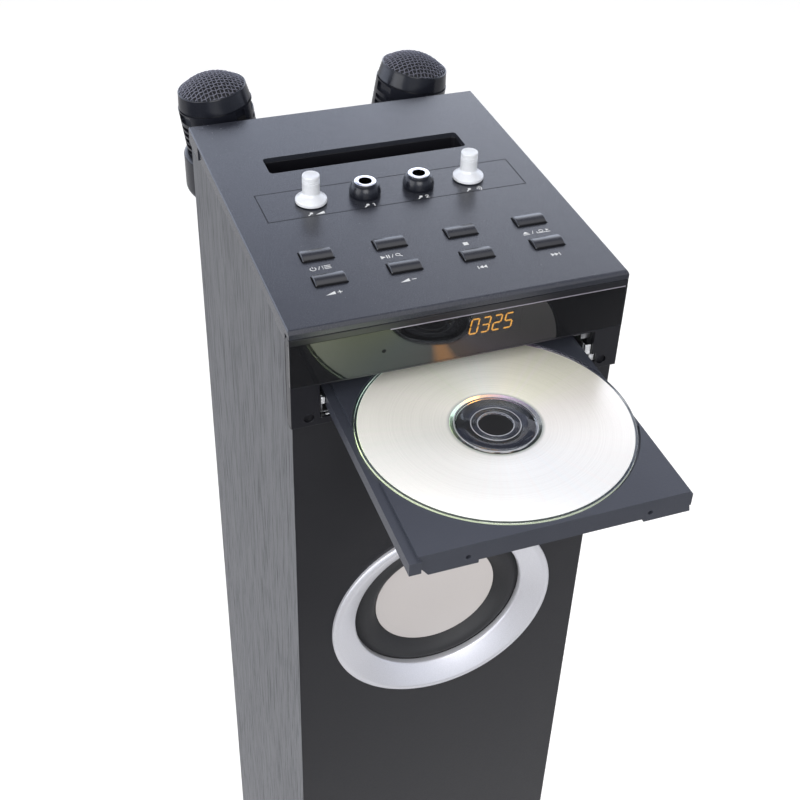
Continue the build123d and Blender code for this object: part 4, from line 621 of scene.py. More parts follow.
def track_mirror():
    """A pale mirror with a painted sheen in broad coloured rays and a very fine spiral track."""
    made, tree, shader = new_material("track_mirror", metallic=0.12)
    distance, along_x, along_y = ring_distance(tree, DISC_CENTRE, ("X", "Y"))
    angle = calculate(tree, "ARCTAN2", along_y, along_x)
    turn = remap(tree, angle, -math.pi, math.pi)
    # Painted sheen: broad lighter and darker rays by the angle round the hub, over the mirror's own pale
    # tint.
    rays = (
        (0.00, (0.86, 0.86, 0.80)),
        (0.10, (0.94, 0.93, 0.88)),
        (0.22, (0.98, 0.98, 0.97)),
        (0.30, (0.93, 0.94, 0.95)),
        (0.42, (0.98, 0.96, 0.93)),
        (0.52, (0.90, 0.86, 0.80)),
        (0.58, (0.86, 0.85, 0.70)),
        (0.66, (0.92, 0.90, 0.76)),
        (0.72, (0.88, 0.90, 0.84)),
        (0.80, (0.84, 0.85, 0.74)),
        (0.88, (0.94, 0.92, 0.84)),
        (1.00, (0.86, 0.86, 0.80)),
    )
    # Painted sheen: pinkish streaks by the angle round the hub.
    sheen_streaks = line_noise(tree, product(tree, angle, 6.0), 3.0, 4.0)
    sheen_streak_mask = remap(tree, sheen_streaks, 0.35, 0.75, 0.0, 0.35)
    colour = blend_colours(tree, sheen_streak_mask, colour_ramp(tree, turn, rays), (0.97, 0.90, 0.88))
    hub_edge = remap(tree, distance, 0.0197, 0.0212)
    wire(tree, blend_colours(tree, hub_edge, (0.42, 0.44, 0.42), colour), shader["Base Color"])
    # Painted light: for mirror rays alone the mirror glows with the colours that its track spreads onto the
    # window.
    glossy_ray = tree.nodes.new("ShaderNodeLightPath").outputs["Is Glossy Ray"]
    spread = spread_colours(tree, turn, distance)
    wire(tree, blend_colours(tree, glossy_ray, (0.0, 0.0, 0.0), spread), shader["Emission Color"])
    shader["Emission Strength"].default_value = 4.0
    track = line_noise(tree, distance, 9000.0)
    wire(tree, remap(tree, track, 0.3, 0.7, 0.24, 0.34), shader["Roughness"])
    return made


FINISHES["track_mirror"] = track_mirror()
print("disc centre at", [round(value * 1000, 1) for value in DISC_CENTRE], "mm")

# %% [markdown]
# Clear plastics share one function. The disc's body and the smoked window differ in how
# much light they let through, how strongly they bend it, and how often they are wiped.
# The lit segments are a coloured plastic that glows.

# %% Clear and glowing plastics


def clear_sheet(name, clearness, bending, smudge_size, contrast, tints, gloss):
    """Clear or smoked plastic: wipe marks break up its tint and its polish."""
    made, tree, shader = new_material(name)
    shader["Transmission Weight"].default_value = clearness
    shader["IOR"].default_value = bending
    haze = use_group(tree, SMUDGES, Size=smudge_size, Contrast=contrast)["Mask"]
    wire(tree, blend_colours(tree, haze, *tints), shader["Base Color"])
    wire(tree, remap(tree, haze, 0.0, 1.0, *gloss), shader["Roughness"])
    return made


def glowing(name, colour, strength):
    """Lit plastic whose glow wavers a little from place to place."""
    made, tree, shader = new_material(name, roughness=0.4)
    glow = use_group(tree, SMUDGES, Size=400.0, Contrast=0.9)["Mask"]
    lit = blend_colours(tree, glow, darker(colour, 0.7), colour)
    wire(tree, lit, shader["Emission Color"])
    wire(tree, lit, shader["Base Color"])
    shader["Emission Strength"].default_value = strength
    return made


CLEAR_TINTS = ((0.80, 0.84, 0.84), (0.90, 0.93, 0.93))
SMOKED_TINTS = ((0.045, 0.046, 0.050), (0.060, 0.061, 0.066))
SHEETS = {
    "clear_polycarbonate": (1.0, 1.58, 40.0, 0.7, CLEAR_TINTS, (0.03, 0.08)),
    "smoked_sheet": (0.85, 1.49, 30.0, 0.8, SMOKED_TINTS, (0.02, 0.06)),
}
FINISHES.update({name: clear_sheet(name, *values) for name, values in SHEETS.items()})
FINISHES["segment_lit"] = glowing("segment_lit", (1.0, 0.46, 0.05), 26.0)
print("clear plastics:", ", ".join(SHEETS))

# %% [markdown]
# A circuit board is a green lacquer over copper tracks. A brick texture, cut into long
# thin blocks, stands in for the tracks, with round solder spots over it.

# %% Circuit board


def board_lacquer():
    """Green lacquer over long tracks, with bright round solder spots."""
    made, tree, shader = new_material("board_lacquer", roughness=0.35)
    place = object_position(tree)
    tracks = add_node(tree, "ShaderNodeTexBrick", Vector=place, Scale=120.0, Mortar_Size=0.035)
    for name, value in {
        "Brick Width": 1.6,
        "Row Height": 0.3,
        "Color1": (0.012, 0.10, 0.035),
        "Color2": (0.016, 0.12, 0.042),
        "Mortar": (0.05, 0.24, 0.09),
    }.items():
        wire(tree, value, tracks.inputs[name])
    spots = add_node(tree, "ShaderNodeTexVoronoi", Vector=place, Scale=160.0)
    solder = remap(tree, spots.outputs["Distance"], 0.16, 0.20, 1.0, 0.0)
    colour = blend_colours(tree, solder, tracks.outputs["Color"], (0.55, 0.56, 0.55))
    wire(tree, colour, shader["Base Color"])
    wire(tree, solder, shader["Metallic"])
    add_bump(tree, shader, solder, 0.0003)
    return made


FINISHES["board_lacquer"] = board_lacquer()
print("finishes in all:", len(FINISHES))

# %% [markdown]
# The record names a material slot for every solid. A table ties each slot to its finish,
# so no solid is left with a plain colour, and a piece can be repainted by its slot.

# %% Dress the solids
FINISH_OF_SLOT = {
    "cover_plastic": "cover_grain",
    "fascia_plastic": "fascia_gloss",
    "smoked_window": "smoked_sheet",
    "wood_ash": "black_ash",
    "wood_black": "black_board",
    "rubber": "soft_rubber",
    "steel_screw": "black_steel",
    "sheet_steel": "zinc_plate",
    "chrome": "bright_chrome",
    "silver_knob": "knob_skin",
    "button_plastic": "button_polish",
    "tray_plastic": "tray_satin",
    "loader_plastic": "loader_matt",
    "gear_plastic": "acetal",
    "disc_polycarbonate": "clear_polycarbonate",
    "ring_silver": "ring_lacquer",
    "cone_silver": "spun_cone_upper",
    "circuit_board": "board_lacquer",
    "mic_plastic": "mic_polish",
    "mic_mesh": "mesh_foam",
    "numeral_module": "module_grey",
}
SLOT_OF_NODE = {name: node.data.materials[0].name for name, node in NODES.items()}

for node_name, node in NODES.items():
    node.material_slots[0].material = FINISHES[FINISH_OF_SLOT[SLOT_OF_NODE[node_name]]]
NODES["lower_cone"].material_slots[0].material = FINISHES["spun_cone_lower"]
print("dressed", len(NODES), "solids by", len(FINISH_OF_SLOT), "slots")

# %% [markdown]
# ## Mesh helpers
# Real mouldings have no knife edges: each edge is rounded by a few tenths, and that thin
# bright line is what makes a part look solid. The helper below copies a solid's mesh,
# joins its loose triangles into whole faces, rounds its edges with a Bevel modifier and
# puts the copy in the solid's place. A Weighted Normal modifier keeps the big faces flat
# to the eye.

# %% Finished pieces
PIECES = []


def finish_piece(name, mesh, body, slot_name, finish=None, stands_for=None):
    """Links a mesh as a piece that rides on a body, with its own or its slot's finish."""
    piece = placed(name, mesh)
    mesh.materials.clear()
    mesh.materials.append(FINISHES[finish or FINISH_OF_SLOT[slot_name]])
    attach(piece, body)
    if stands_for:
        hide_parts(stands_for)
    PIECES.append(piece)
    return piece


def smooth_by_angle(mesh, degrees=35.0):
    for face in mesh.polygons:
        face.use_smooth = True
    mesh.set_sharp_from_angle(angle=math.radians(degrees))


def as_mesh(shell, name, degrees=None):
    """Ends a bmesh as a plain mesh, smoothed up to an angle if one is given."""
    mesh = bpy.data.meshes.new(name)
    shell.to_mesh(mesh)
    shell.free()
    if degrees:
        smooth_by_angle(mesh, degrees)
    return mesh


def baked(scratch):
    """The evaluated mesh of an object with modifiers; the scratch object is removed."""
    bpy.context.view_layer.update()
    graph = bpy.context.evaluated_depsgraph_get()
    mesh = bpy.data.meshes.new_from_object(scratch.evaluated_get(graph))
    bpy.data.objects.remove(scratch)
    return mesh


def modified(mesh, kind, **settings):
    """The plain result of one modifier on a mesh."""
    scratch = placed("scratch", mesh)
    modifier = scratch.modifiers.new(kind, kind)
    for name, value in settings.items():
        setattr(modifier, name, value)
    return baked(scratch)


def joined_copy(node_name):
    """A copy of a solid's mesh with its triangles joined into whole faces."""
    copy = bmesh.new()
    copy.from_mesh(NODES[node_name].data)
    bmesh.ops.remove_doubles(copy, verts=copy.verts, dist=0.000002)
    flat = {"angle_limit": math.radians(1.0), "delimit": {"NORMAL"}}
    bmesh.ops.dissolve_limit(copy, verts=copy.verts, edges=copy.edges, **flat)
    return as_mesh(copy, f"{node_name}_soft")


ROUNDING = {
    "segments": 2,
    "limit_method": "ANGLE",
    "angle_limit": math.radians(32),
    "use_clamp_overlap": True,
    "miter_outer": "MITER_ARC",
}
FLAT_FACES = {"mode": "FACE_AREA", "weight": 100, "keep_sharp": True}


def soften(node_name, width):
    """Rounds the edges of a solid and puts the copy in its place."""
    rounded = modified(joined_copy(node_name), "BEVEL", width=width * MM, **ROUNDING)
    smooth_by_angle(rounded, 50.0)
    rounded = modified(rounded, "WEIGHTED_NORMAL", **FLAT_FACES)
    body = body_of(NODES[node_name])[0]
    slot_name = SLOT_OF_NODE[node_name]
    return finish_piece(f"{node_name}_soft", rounded, body, slot_name, stands_for=node_name)


print("mesh helpers ready")

# %% [markdown]
# The big mouldings and boards get their rounded edges first: a few tenths on plastic,
# a little more on the foil-wrapped boards, and the least on folded sheet. The widths are
# in millimetres.

# %% Round the edges
EDGE_ROUNDING = {
    "top_cover": 0.25,
    "front_fascia": 0.25,
    "side_panel_left": 0.5,
    "side_panel_right": 0.5,
    "front_baffle": 0.5,
    "back_panel": 0.5,
    "base_plate": 0.6,
    "tablet_pocket": 0.3,
    "disc_tray": 0.2,
    "guide_brackets": 0.12,
    "loader_chassis": 0.2,
    "clamp_bridge": 0.15,
    "mains_inlet": 0.25,
    "optical_pickup": 0.2,
    "traverse": 0.2,
}
EDGE_ROUNDING.update({name: 0.3 for name in NODES if name.startswith("button_")})
for node_name, width in EDGE_ROUNDING.items():
    soft = soften(node_name, width)
    print(f"{soft.name}: {len(soft.data.polygons)} faces")

# %% [markdown]
# ## Turned pieces
# Knobs, jack bushings, speaker rings and microphones are all round about an axis, so each
# is a profile turned about it. A profile is a list of radius and height in millimetres,
# and a small arc tool fills in the rounded corners.

# %% Turning tools
POLE = 1e-6


def turned_mesh(name, profile, frame_matrix, steps=96):
    """Turns a profile of (radius, height) in millimetres about local Z, then places it."""
    shell = bmesh.new()
    turns = [math.tau * step / steps for step in range(steps)]
    rings = []
    for radius, height in profile:
        circle = [(radius * MM * math.cos(turn), radius * MM * math.sin(turn)) for turn in turns]
        points = [(0, 0)] if radius < POLE else circle
        rings.append([shell.verts.new((x, y, height * MM)) for x, y in points])
    for low, high in zip(rings, rings[1:]):
        for step in range(steps):
            after = (step + 1) % steps
            if len(low) == 1 and len(high) == 1:
                continue
            if len(low) == 1:
                shell.faces.new((low[0], high[after], high[step]))
            elif len(high) == 1:
                shell.faces.new((low[step], low[after], high[0]))
            else:
                shell.faces.new((low[step], low[after], high[after], high[step]))
    bmesh.ops.recalc_face_normals(shell, faces=shell.faces)
    shell.transform(frame_matrix)
    return as_mesh(shell, name, 35.0)


def closed(profile):
    """Ends a hollow profile where it began, so that the shell is closed."""
    return list(profile) + [profile[0]]


def arc(centre, radius, start, end, steps=6):
    """Points on an arc of a profile; angles in degrees."""
    points = []
    for step in range(steps + 1):
        angle = math.radians(start + (end - start) * step / steps)
        points.append((centre[0] + radius * math.cos(angle), centre[1] + radius * math.sin(angle)))
    return points


def frame_at(place, along):
    """A matrix whose Z runs along a direction, and whose X stays near the world's X."""
    z_axis = Vector(along).normalized()
    y_axis = z_axis.cross(Vector((1, 0, 0))).normalized()
    x_axis = y_axis.cross(z_axis)
    rotation = Matrix((x_axis, y_axis, z_axis)).transposed()
    return Matrix.Translation(Vector(place)) @ rotation.to_4x4()


def turned_set(name, turned, steps=96):
    """Several closed profiles, each turned in its own frame, as one mesh."""
    shell = bmesh.new()
    for profile, frame_matrix in turned:
        part = turned_mesh("part", closed(profile), frame_matrix, steps)
        shell.from_mesh(part)
        bpy.data.meshes.remove(part)
    return as_mesh(shell, name, 35.0)


print("turning tools ready")

# %% [markdown]
# The two level knobs are skinned in a pale silver. Each is a bell-shaped foot that flows
# into a straight stem. Two fine grooves run round it under the crown, shallow flutes run
# up the stem, and the top has a slight dish for the fingertip. The bore for the shaft is
# part of the profile, so the shell is closed.

# %% Level knobs
UP = Vector((0, 0, 1))
KNOB_FOOT = 7.6
KNOB_STEM = 4.15
KNOB_BORE = 3.05
KNOB_RISE = 14.1
GROOVE_SINK = 0.22
FLUTES = 40
FLUTE_DEPTH = 0.07


def knob_profile():
    """Radius and height of a knob above its own lower edge, in millimetres."""
    stem, foot, rise = KNOB_STEM, KNOB_FOOT, KNOB_RISE
    flare = [(stem, 4.9), (stem + 0.12, 4.6), (stem + 0.5, 4.1), (stem + 1.2, 3.4), (stem + 2.0, 2.7)]
    flare += [(foot - 0.8, 2.2), (foot - 0.3, 1.9), (foot - 0.05, 1.55), (foot, 1.2)]
    outside = [(foot, 0.25), (foot - 0.2, 0.0), (KNOB_BORE, 0.0), (KNOB_BORE, rise - 4.0), (0, rise - 4.0)]
    crown = [(stem, 5.4), (stem, rise - 4.2)]
    groove = stem - GROOVE_SINK
    for drop in (3.5, 2.2):
        crown += [(stem, rise - drop - 0.3), (groove, rise - drop - 0.14)]
        crown += [(groove, rise - drop + 0.14), (stem, rise - drop + 0.3)]
    crown += arc((stem - 0.55, rise - 0.55), 0.55, 0, 90)
    crown += [(stem - 1.1, rise), (stem - 1.35, rise - 0.12), (stem - 2.4, rise - 0.30), (0, rise - 0.36)]
    return list(reversed(outside)) + list(reversed(flare)) + crown


def flute(mesh, low, high):
    """Presses shallow upright flutes into the stem between two heights."""
    for vertex in mesh.vertices:
        if low * MM < vertex.co.z < high * MM and vertex.co.xy.length > (KNOB_STEM - 0.5) * MM:
            turn = math.atan2(vertex.co.y, vertex.co.x)
            pressed = FLUTE_DEPTH * MM * (0.5 + 0.5 * math.cos(turn * FLUTES))
            vertex.co.xy *= 1 - pressed / vertex.co.xy.length


for which in ("volume", "echo"):
    low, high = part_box(f"{which}_knob")
    foot_centre = Vector(((low.x + high.x) / 2, (low.y + high.y) / 2, low.z))
    mesh = turned_mesh(f"{which}_knob_fine", knob_profile(), Matrix.Identity(4), FLUTES * 6)
    flute(mesh, 5.3, KNOB_RISE - 4.1)
    mesh.transform(frame_at(foot_centre, UP))
    finish_piece(mesh.name, mesh, f"{which}_control", "silver_knob", stands_for=f"{which}_knob")
    print(f"{which} knob: foot {(high.x - low.x) * 1000:.1f} mm across")

# %% [markdown]
# Each microphone jack stands in a black bushing, a short cone with a rounded shoulder.
# The socket's own neck and its moulded body under the cover stay as the solid made them.

# %% Jack bushings
JACK_NECK = 5.2
JACK_BORE = 3.25
BUSHING_FOOT = 7.7
BUSHING_SHOULDER = 6.9
BUSHING_RISE = 6.5

jack_low, jack_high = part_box("jack_bushings")
JACK_Y = (jack_low.y + jack_high.y) / 2
JACK_COLUMNS = (jack_low.x + BUSHING_FOOT * MM, jack_high.x - BUSHING_FOOT * MM)
JACK_FRAMES = [frame_at((column, JACK_Y, TOP), UP) for column in JACK_COLUMNS]

bushing_profile = [(JACK_NECK + 0.05, 0.0), (BUSHING_FOOT - 0.3, 0.0), (BUSHING_FOOT - 0.08, 0.5)]
bushing_profile += [(BUSHING_FOOT, 1.4), (BUSHING_FOOT - 0.05, 2.4), (BUSHING_FOOT - 0.3, 3.6)]
bushing_profile += [(BUSHING_SHOULDER + 0.1, 4.7), (BUSHING_SHOULDER - 0.35, 5.6)]
bushing_profile += [(BUSHING_SHOULDER - 0.9, 6.2), (BUSHING_SHOULDER - 1.3, BUSHING_RISE)]
bushing_profile += [(JACK_NECK + 0.3, BUSHING_RISE), (JACK_NECK + 0.05, BUSHING_RISE - 0.15)]
bushing_mesh = turned_set("jack_bushings_fine", [(bushing_profile, each) for each in JACK_FRAMES])
finish_piece("jack_bushings_fine", bushing_mesh, "cabinet", "mic_plastic", stands_for="jack_bushings")
print("jacks at x", ", ".join(f"{column * 1000:.1f}" for column in JACK_COLUMNS), "mm")

# %% [markdown]
# ## Loudspeakers
# A silver trim ring hides each driver's edge. Its bevelled lip drops to a conical
# throat, then comes the roll of the rubber surround and the dished cone in the middle.
# The three are turned about the driver's own axis, which points to the front.

# %% Driver pieces
FORWARD = Vector((0, -1, 0))
RING_OUTER = 60.0
RING_THROAT = 46.0
CONE_RADIUS = 33.0
FASCIA_PROUD = 2.5
RING_DEPTH = 7.0
FLANGE_RADIUS = 53.7
CONE_SEAT = -13.0
CONE_DISH = 4.5
CONE_SHEET = 1.2
CONE_STEPS = 12
NECK_OUTER = 12.7
NECK_INNER = 12.1
NECK_END = 14.2
DRIVER_FRAMES = {level: frame_at((0, FRONT, centre.z), FORWARD) for level, centre in DRIVERS.items()}


def ring_profile():
    """Trim ring: heights run backwards from the front plane, so they are negative."""
    points = [(RING_OUTER, -FASCIA_PROUD), (RING_OUTER, -1.3)]
    points += [(RING_OUTER - 0.12, -0.95), (RING_OUTER - 0.5, -0.6), (RING_OUTER - 1.6, -0.12)]
    points += [(RING_OUTER - 2.3, 0.0), (RING_OUTER - 3.2, -0.05), (RING_OUTER - 3.9, -0.3)]
    points += [(RING_THROAT + 1.0, -RING_DEPTH + 0.75), (RING_THROAT + 0.25, -RING_DEPTH + 0.25)]
    points += [(RING_THROAT, -RING_DEPTH - 0.3), (RING_THROAT, -9.9), (RING_THROAT + 2.0, -9.9)]
    points += [(RING_THROAT + 2.0, -RING_DEPTH), (FLANGE_RADIUS, -3.5), (FLANGE_RADIUS, -FASCIA_PROUD)]
    return points


def cone_profile():
    """A shallow dish with a soft edge bead where it meets the surround."""
    radius, edge, dish = CONE_RADIUS - 0.02, CONE_SEAT, CONE_DISH
    sphere = (radius * radius + dish * dish) / (2 * dish)
    points = [(0, edge - dish)]
    for step in range(1, CONE_STEPS + 1):
        reach = radius * step / CONE_STEPS
        rise = sphere - math.sqrt(sphere * sphere - reach * reach)
        points.append((reach, edge - dish + rise))
    points += [(radius, edge - CONE_SHEET), (NECK_OUTER, edge - dish - CONE_SHEET)]
    points += [(NECK_OUTER, edge - dish - NECK_END), (NECK_INNER, edge - dish - NECK_END)]
    points += [(NECK_INNER, edge - dish - CONE_SHEET), (0, edge - dish - CONE_SHEET)]
    return points


for level, axis_frame in DRIVER_FRAMES.items():
    ring_mesh = turned_mesh(f"{level}_trim_ring_fine", closed(ring_profile()), axis_frame, 160)
    finish_piece(ring_mesh.name, ring_mesh, "cabinet", "ring_silver", stands_for=f"{level}_trim_ring")
    cone_mesh = turned_mesh(f"{level}_cone_fine", cone_profile(), axis_frame, 128)
    cone_finish = f"spun_cone_{level}"
    finish_piece(cone_mesh.name, cone_mesh, "cabinet", "cone_silver", cone_finish, f"{level}_cone")
    print(f"{level} driver at height {DRIVERS[level].z:.3f} m")

# %% [markdown]
# The surround is a half roll of rubber between two flat lips. The surrounds of both
# drivers are one mesh, as they are one node of the frame.

# %% Rubber surrounds
SURROUND_LIP = -11.5
SURROUND_THICKNESS = 1.2
ROLL_RISE = 4.0
ROLL_STEPS = 12
roll_start, roll_end = RING_THROAT - 0.7, CONE_RADIUS + 0.3


def surround_profile():
    """Outer lip, half roll and inner lip, then the same line back behind them."""
    lip_front = SURROUND_LIP + SURROUND_THICKNESS
    front = [(FLANGE_RADIUS, lip_front), (roll_start, lip_front)]
    for step in range(1, ROLL_STEPS):
        share = step / ROLL_STEPS
        radius = roll_start + (roll_end - roll_start) * share
        base = lip_front * (1 - share) + CONE_SEAT * share
        front.append((radius, base + ROLL_RISE * math.sin(math.pi * share)))
    front += [(roll_end, CONE_SEAT), (roll_end, CONE_SEAT - SURROUND_THICKNESS)]
    back = [(radius, height - SURROUND_THICKNESS) for radius, height in reversed(front[2 : ROLL_STEPS + 1])]
    return front + back + [(roll_start, SURROUND_LIP), (FLANGE_RADIUS, SURROUND_LIP)]


surrounds = [(surround_profile(), axis_frame) for axis_frame in DRIVER_FRAMES.values()]
surround_mesh = turned_set("surrounds_fine", surrounds, 128)
finish_piece("surrounds_fine", surround_mesh, "cabinet", "rubber", stands_for="surrounds")
print("surround roll:", round(roll_start - roll_end, 1), "mm wide")

# %% [markdown]
# ## The disc
# Two of the disc's layers are built, so its hub stays clear while its face shines: a body
# of clear plastic with a moulded stacking ring, and a separate mirror at its top face
# that stops short of the hub and of the rim. The thin lacquer is left out.

# %% Disc layers
DISC_HOLE = 7.5
DISC_EDGE = 60.0
disc_low, disc_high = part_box("disc")
DISC_TOP = (disc_high.z - disc_low.z) * 1000
disc_frame = frame_at((DISC_CENTRE.x, DISC_CENTRE.y, disc_low.z), UP)
body_profile = [(DISC_HOLE, 0.1), (DISC_HOLE + 0.1, 0.0), (16.6, 0.0), (17.0, 0.25), (17.4, 0.0)]
body_profile += [(DISC_EDGE - 0.15, 0.0), (DISC_EDGE, 0.15), (DISC_EDGE, DISC_TOP - 0.15)]
body_profile += [(DISC_EDGE - 0.15, DISC_TOP), (18.3, DISC_TOP), (18.0, DISC_TOP - 0.15)]
body_profile += [(17.7, DISC_TOP), (11.0, DISC_TOP), (10.7, DISC_TOP - 0.12), (10.4, DISC_TOP)]
body_profile += [(DISC_HOLE + 0.1, DISC_TOP), (DISC_HOLE, DISC_TOP - 0.1)]
disc_body = turned_mesh("disc_body", closed(body_profile), disc_frame, 192)
finish_piece("disc_body", disc_body, "disc", "disc_polycarbonate", stands_for="disc")
print("disc height", round(DISC_TOP, 2), "mm")

# %% [markdown]
# The mirror lies on the clear body, and it is seen directly. The clear rims carry on
# inside and outside it, and three fine ridges stand on the hub, pale grey as painted
# glints. Its material gives the window above its coloured light as a painted glow, as
# told with the finishes.

# %% Disc mirror
MIRROR_INNER = 19.8
MIRROR_OUTER = 58.6
RIDGES = ((17.8, 0.30), (10.7, 0.26), (7.85, 0.26))


def ridge_profile(radius, width):
    low, high = DISC_TOP - 0.05, DISC_TOP + 0.02
    foot = [(radius - width, low), (radius + width, low)]
    return foot + [(radius + width * 0.5, high), (radius - width * 0.5, high)]


mirror_profile = [(MIRROR_INNER, DISC_TOP - 0.12), (MIRROR_OUTER, DISC_TOP - 0.12)]
mirror_profile += [(MIRROR_OUTER + 0.15, DISC_TOP - 0.04), (MIRROR_OUTER, DISC_TOP + 0.02)]
mirror_profile += [(MIRROR_INNER, DISC_TOP + 0.02), (MIRROR_INNER - 0.2, DISC_TOP - 0.04)]
mirror_mesh = turned_mesh("disc_mirror", closed(mirror_profile), disc_frame, 192)
finish_piece("disc_mirror", mirror_mesh, "disc", "disc_polycarbonate", "track_mirror")
# Painted glints: the ridges' pale grey stands in for light caught on the hub.
ridge_mesh = turned_set("disc_ridges", [(ridge_profile(*each), disc_frame) for each in RIDGES], 160)
finish_piece("disc_ridges", ridge_mesh, "disc", "disc_polycarbonate", "moulded_ridge")
print(f"mirror from {MIRROR_INNER} to {MIRROR_OUTER} mm radius, ridges: {len(RIDGES)}")

# %% [markdown]
# The bright ring on each jack is a separate trim that stands a hair above the bushing.
# It is a ring with two rounded lips, which catches the light as a thin bright line. One
# is turned for each jack, and they ride on the cabinet with the bushings.

# %% Jack rims
rim_profile = [(JACK_BORE + 0.02, BUSHING_RISE + 0.05), (JACK_NECK - 0.02, BUSHING_RISE + 0.05)]
rim_profile += arc((JACK_NECK - 0.32, BUSHING_RISE + 0.3), 0.3, 0, 90, 4)
rim_profile += [(JACK_BORE + 0.75, BUSHING_RISE + 0.54)]
rim_profile += arc((JACK_BORE + 0.32, BUSHING_RISE + 0.3), 0.3, 90, 180, 4)
rim_mesh = turned_set("jack_rims", [(rim_profile, each) for each in JACK_FRAMES])
finish_piece("jack_rims", rim_mesh, "cabinet", "chrome")
print("jack rims:", len(rim_mesh.polygons), "faces")

# %% [markdown]
# ## Microphones
# Each microphone leans in its holder, and its joint in the frame tells which way: the
# lift axis is the microphone's own axis. The centre of its rim comes from the grille's
# box, so the fine pieces follow when the solids move.

# %% Microphone frames
RIM_RADIUS = 18.2
DOME_HEIGHT = 7.7


def microphone_frame(side):
    """The rim centre with Z up the microphone, found from the grille's box."""
    along = Vector(JOINTS[f"mic_{side}_lift"]["axis"]).normalized()
    low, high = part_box(f"mic_grille_{side}")
    sphere = (RIM_RADIUS**2 + DOME_HEIGHT**2) / (2 * DOME_HEIGHT)
    rim = Vector((0, 0, high.z - (sphere + (DOME_HEIGHT - sphere) * along.z) * MM))
    for index in (0, 1):
        edge = RIM_RADIUS * math.sqrt(1.0 - along[index] ** 2) * MM
        rim[index] = low[index] + edge if along[index] < 0 else high[index] - edge
    return frame_at(rim, along)


MIC_FRAMES = {side: microphone_frame(side) for side in ("left", "right")}
for side, matrix in MIC_FRAMES.items():
    print(side, "rim centre", [round(value * 1000, 1) for value in matrix.translation])

# %% [markdown]
# The grille is woven wire pressed into a low dome. Geometry Nodes weave it: a row of
# straight wires is laid side by side, every point is lifted onto the dome, and a wave
# takes each wire over one crossing and under the next. The second layer is the same tree
# turned by a quarter turn with the wave the other way up. The tree ends in Realize
# Instances and Set Material, and its result is baked to a plain mesh.

# %% Geometry tree tools


def new_geometry_tree(name, sizes):
    """A geometry node tree with named inputs for its sizes, and a material."""
    tree = bpy.data.node_groups.new(name, "GeometryNodeTree")
    add_socket(tree, "Geometry", "Geometry")
    for each, value in sizes.items():
        add_socket(tree, each, "Int" if isinstance(value, int) else "Float", value)
    add_socket(tree, "Material", "Material")
    add_socket(tree, "Geometry", "Geometry", way="OUTPUT")
    return tree, tree.nodes.new("NodeGroupInput").outputs, tree.nodes.new("NodeGroupOutput").inputs


def finish_tree(tree, entry, way_out, geometry):
    """Every tree ends the same way: real geometry with a material."""
    real = add_node(tree, "GeometryNodeRealizeInstances", Geometry=geometry).outputs[0]
    painted = add_node(tree, "GeometryNodeSetMaterial", Geometry=real, Material=entry["Material"])
    wire(tree, painted.outputs[0], way_out["Geometry"])
    return tree


def grown(tree, mesh, **values):
    """Runs a geometry tree on a mesh, with inputs by name, and returns the plain result."""
    scratch = placed("scratch", mesh)
    modifier = scratch.modifiers.new("grow", "NODES")
    modifier.node_group = tree
    for item in tree.interface.items_tree:
        if item.item_type == "SOCKET" and item.in_out == "INPUT" and item.name in values:
            modifier[item.identifier] = values[item.name]
    return baked(scratch)


print("geometry tree tools ready")

# %% Woven dome tree
WOVEN_SIZES = {"Radius": 0.018, "Dome": 0.008, "Pitch": 0.002, "Wire": 0.0003, "Wave": 0.0003, "Wires": 19}
WIRE_POINTS = 96
WIRE_SIDES = 5


def wire_row(tree, entry):
    """Straight wires side by side, made of real points."""
    radius, pitch = entry["Radius"], entry["Pitch"]
    low_end = joined_axes(tree, Y=product(tree, radius, -1.0))
    line = add_node(tree, "GeometryNodeCurvePrimitiveLine", Start=low_end, End=joined_axes(tree, Y=radius))
    fine = add_node(tree, "GeometryNodeResampleCurve", Curve=line.outputs[0], Count=WIRE_POINTS)
    half = product(tree, calculate(tree, "SUBTRACT", entry["Wires"], 1.0), -0.5)
    row = add_node(
        tree,
        "GeometryNodeMeshLine",
        Count=entry["Wires"],
        Start_Location=joined_axes(tree, X=product(tree, half, pitch)),
        Offset=joined_axes(tree, X=pitch),
    ).outputs[0]
    wires = add_node(tree, "GeometryNodeInstanceOnPoints", Points=row, Instance=fine.outputs[0])
    return add_node(tree, "GeometryNodeRealizeInstances", Geometry=wires.outputs[0]).outputs[0]


def dome_height(tree, entry, square):
    """Height of the dome over a point, from the square of its distance from the axis."""
    radius, dome = entry["Radius"], entry["Dome"]
    squares = calculate(tree, "ADD", product(tree, radius, radius), product(tree, dome, dome))
    sphere = calculate(tree, "DIVIDE", squares, product(tree, dome, 2.0))
    depth = calculate(tree, "SUBTRACT", product(tree, sphere, sphere), square)
    lift = calculate(tree, "SUBTRACT", calculate(tree, "SQRT", depth), sphere)
    return calculate(tree, "ADD", lift, dome)


def weave_wave(tree, entry, x, y):
    """Over one crossing and under the next, on both axes."""
    turns = calculate(tree, "DIVIDE", math.pi, entry["Pitch"])
    across = calculate(tree, "COSINE", product(tree, x, turns))
    along = calculate(tree, "COSINE", product(tree, y, turns))
    return product(tree, product(tree, across, along), entry["Wave"])


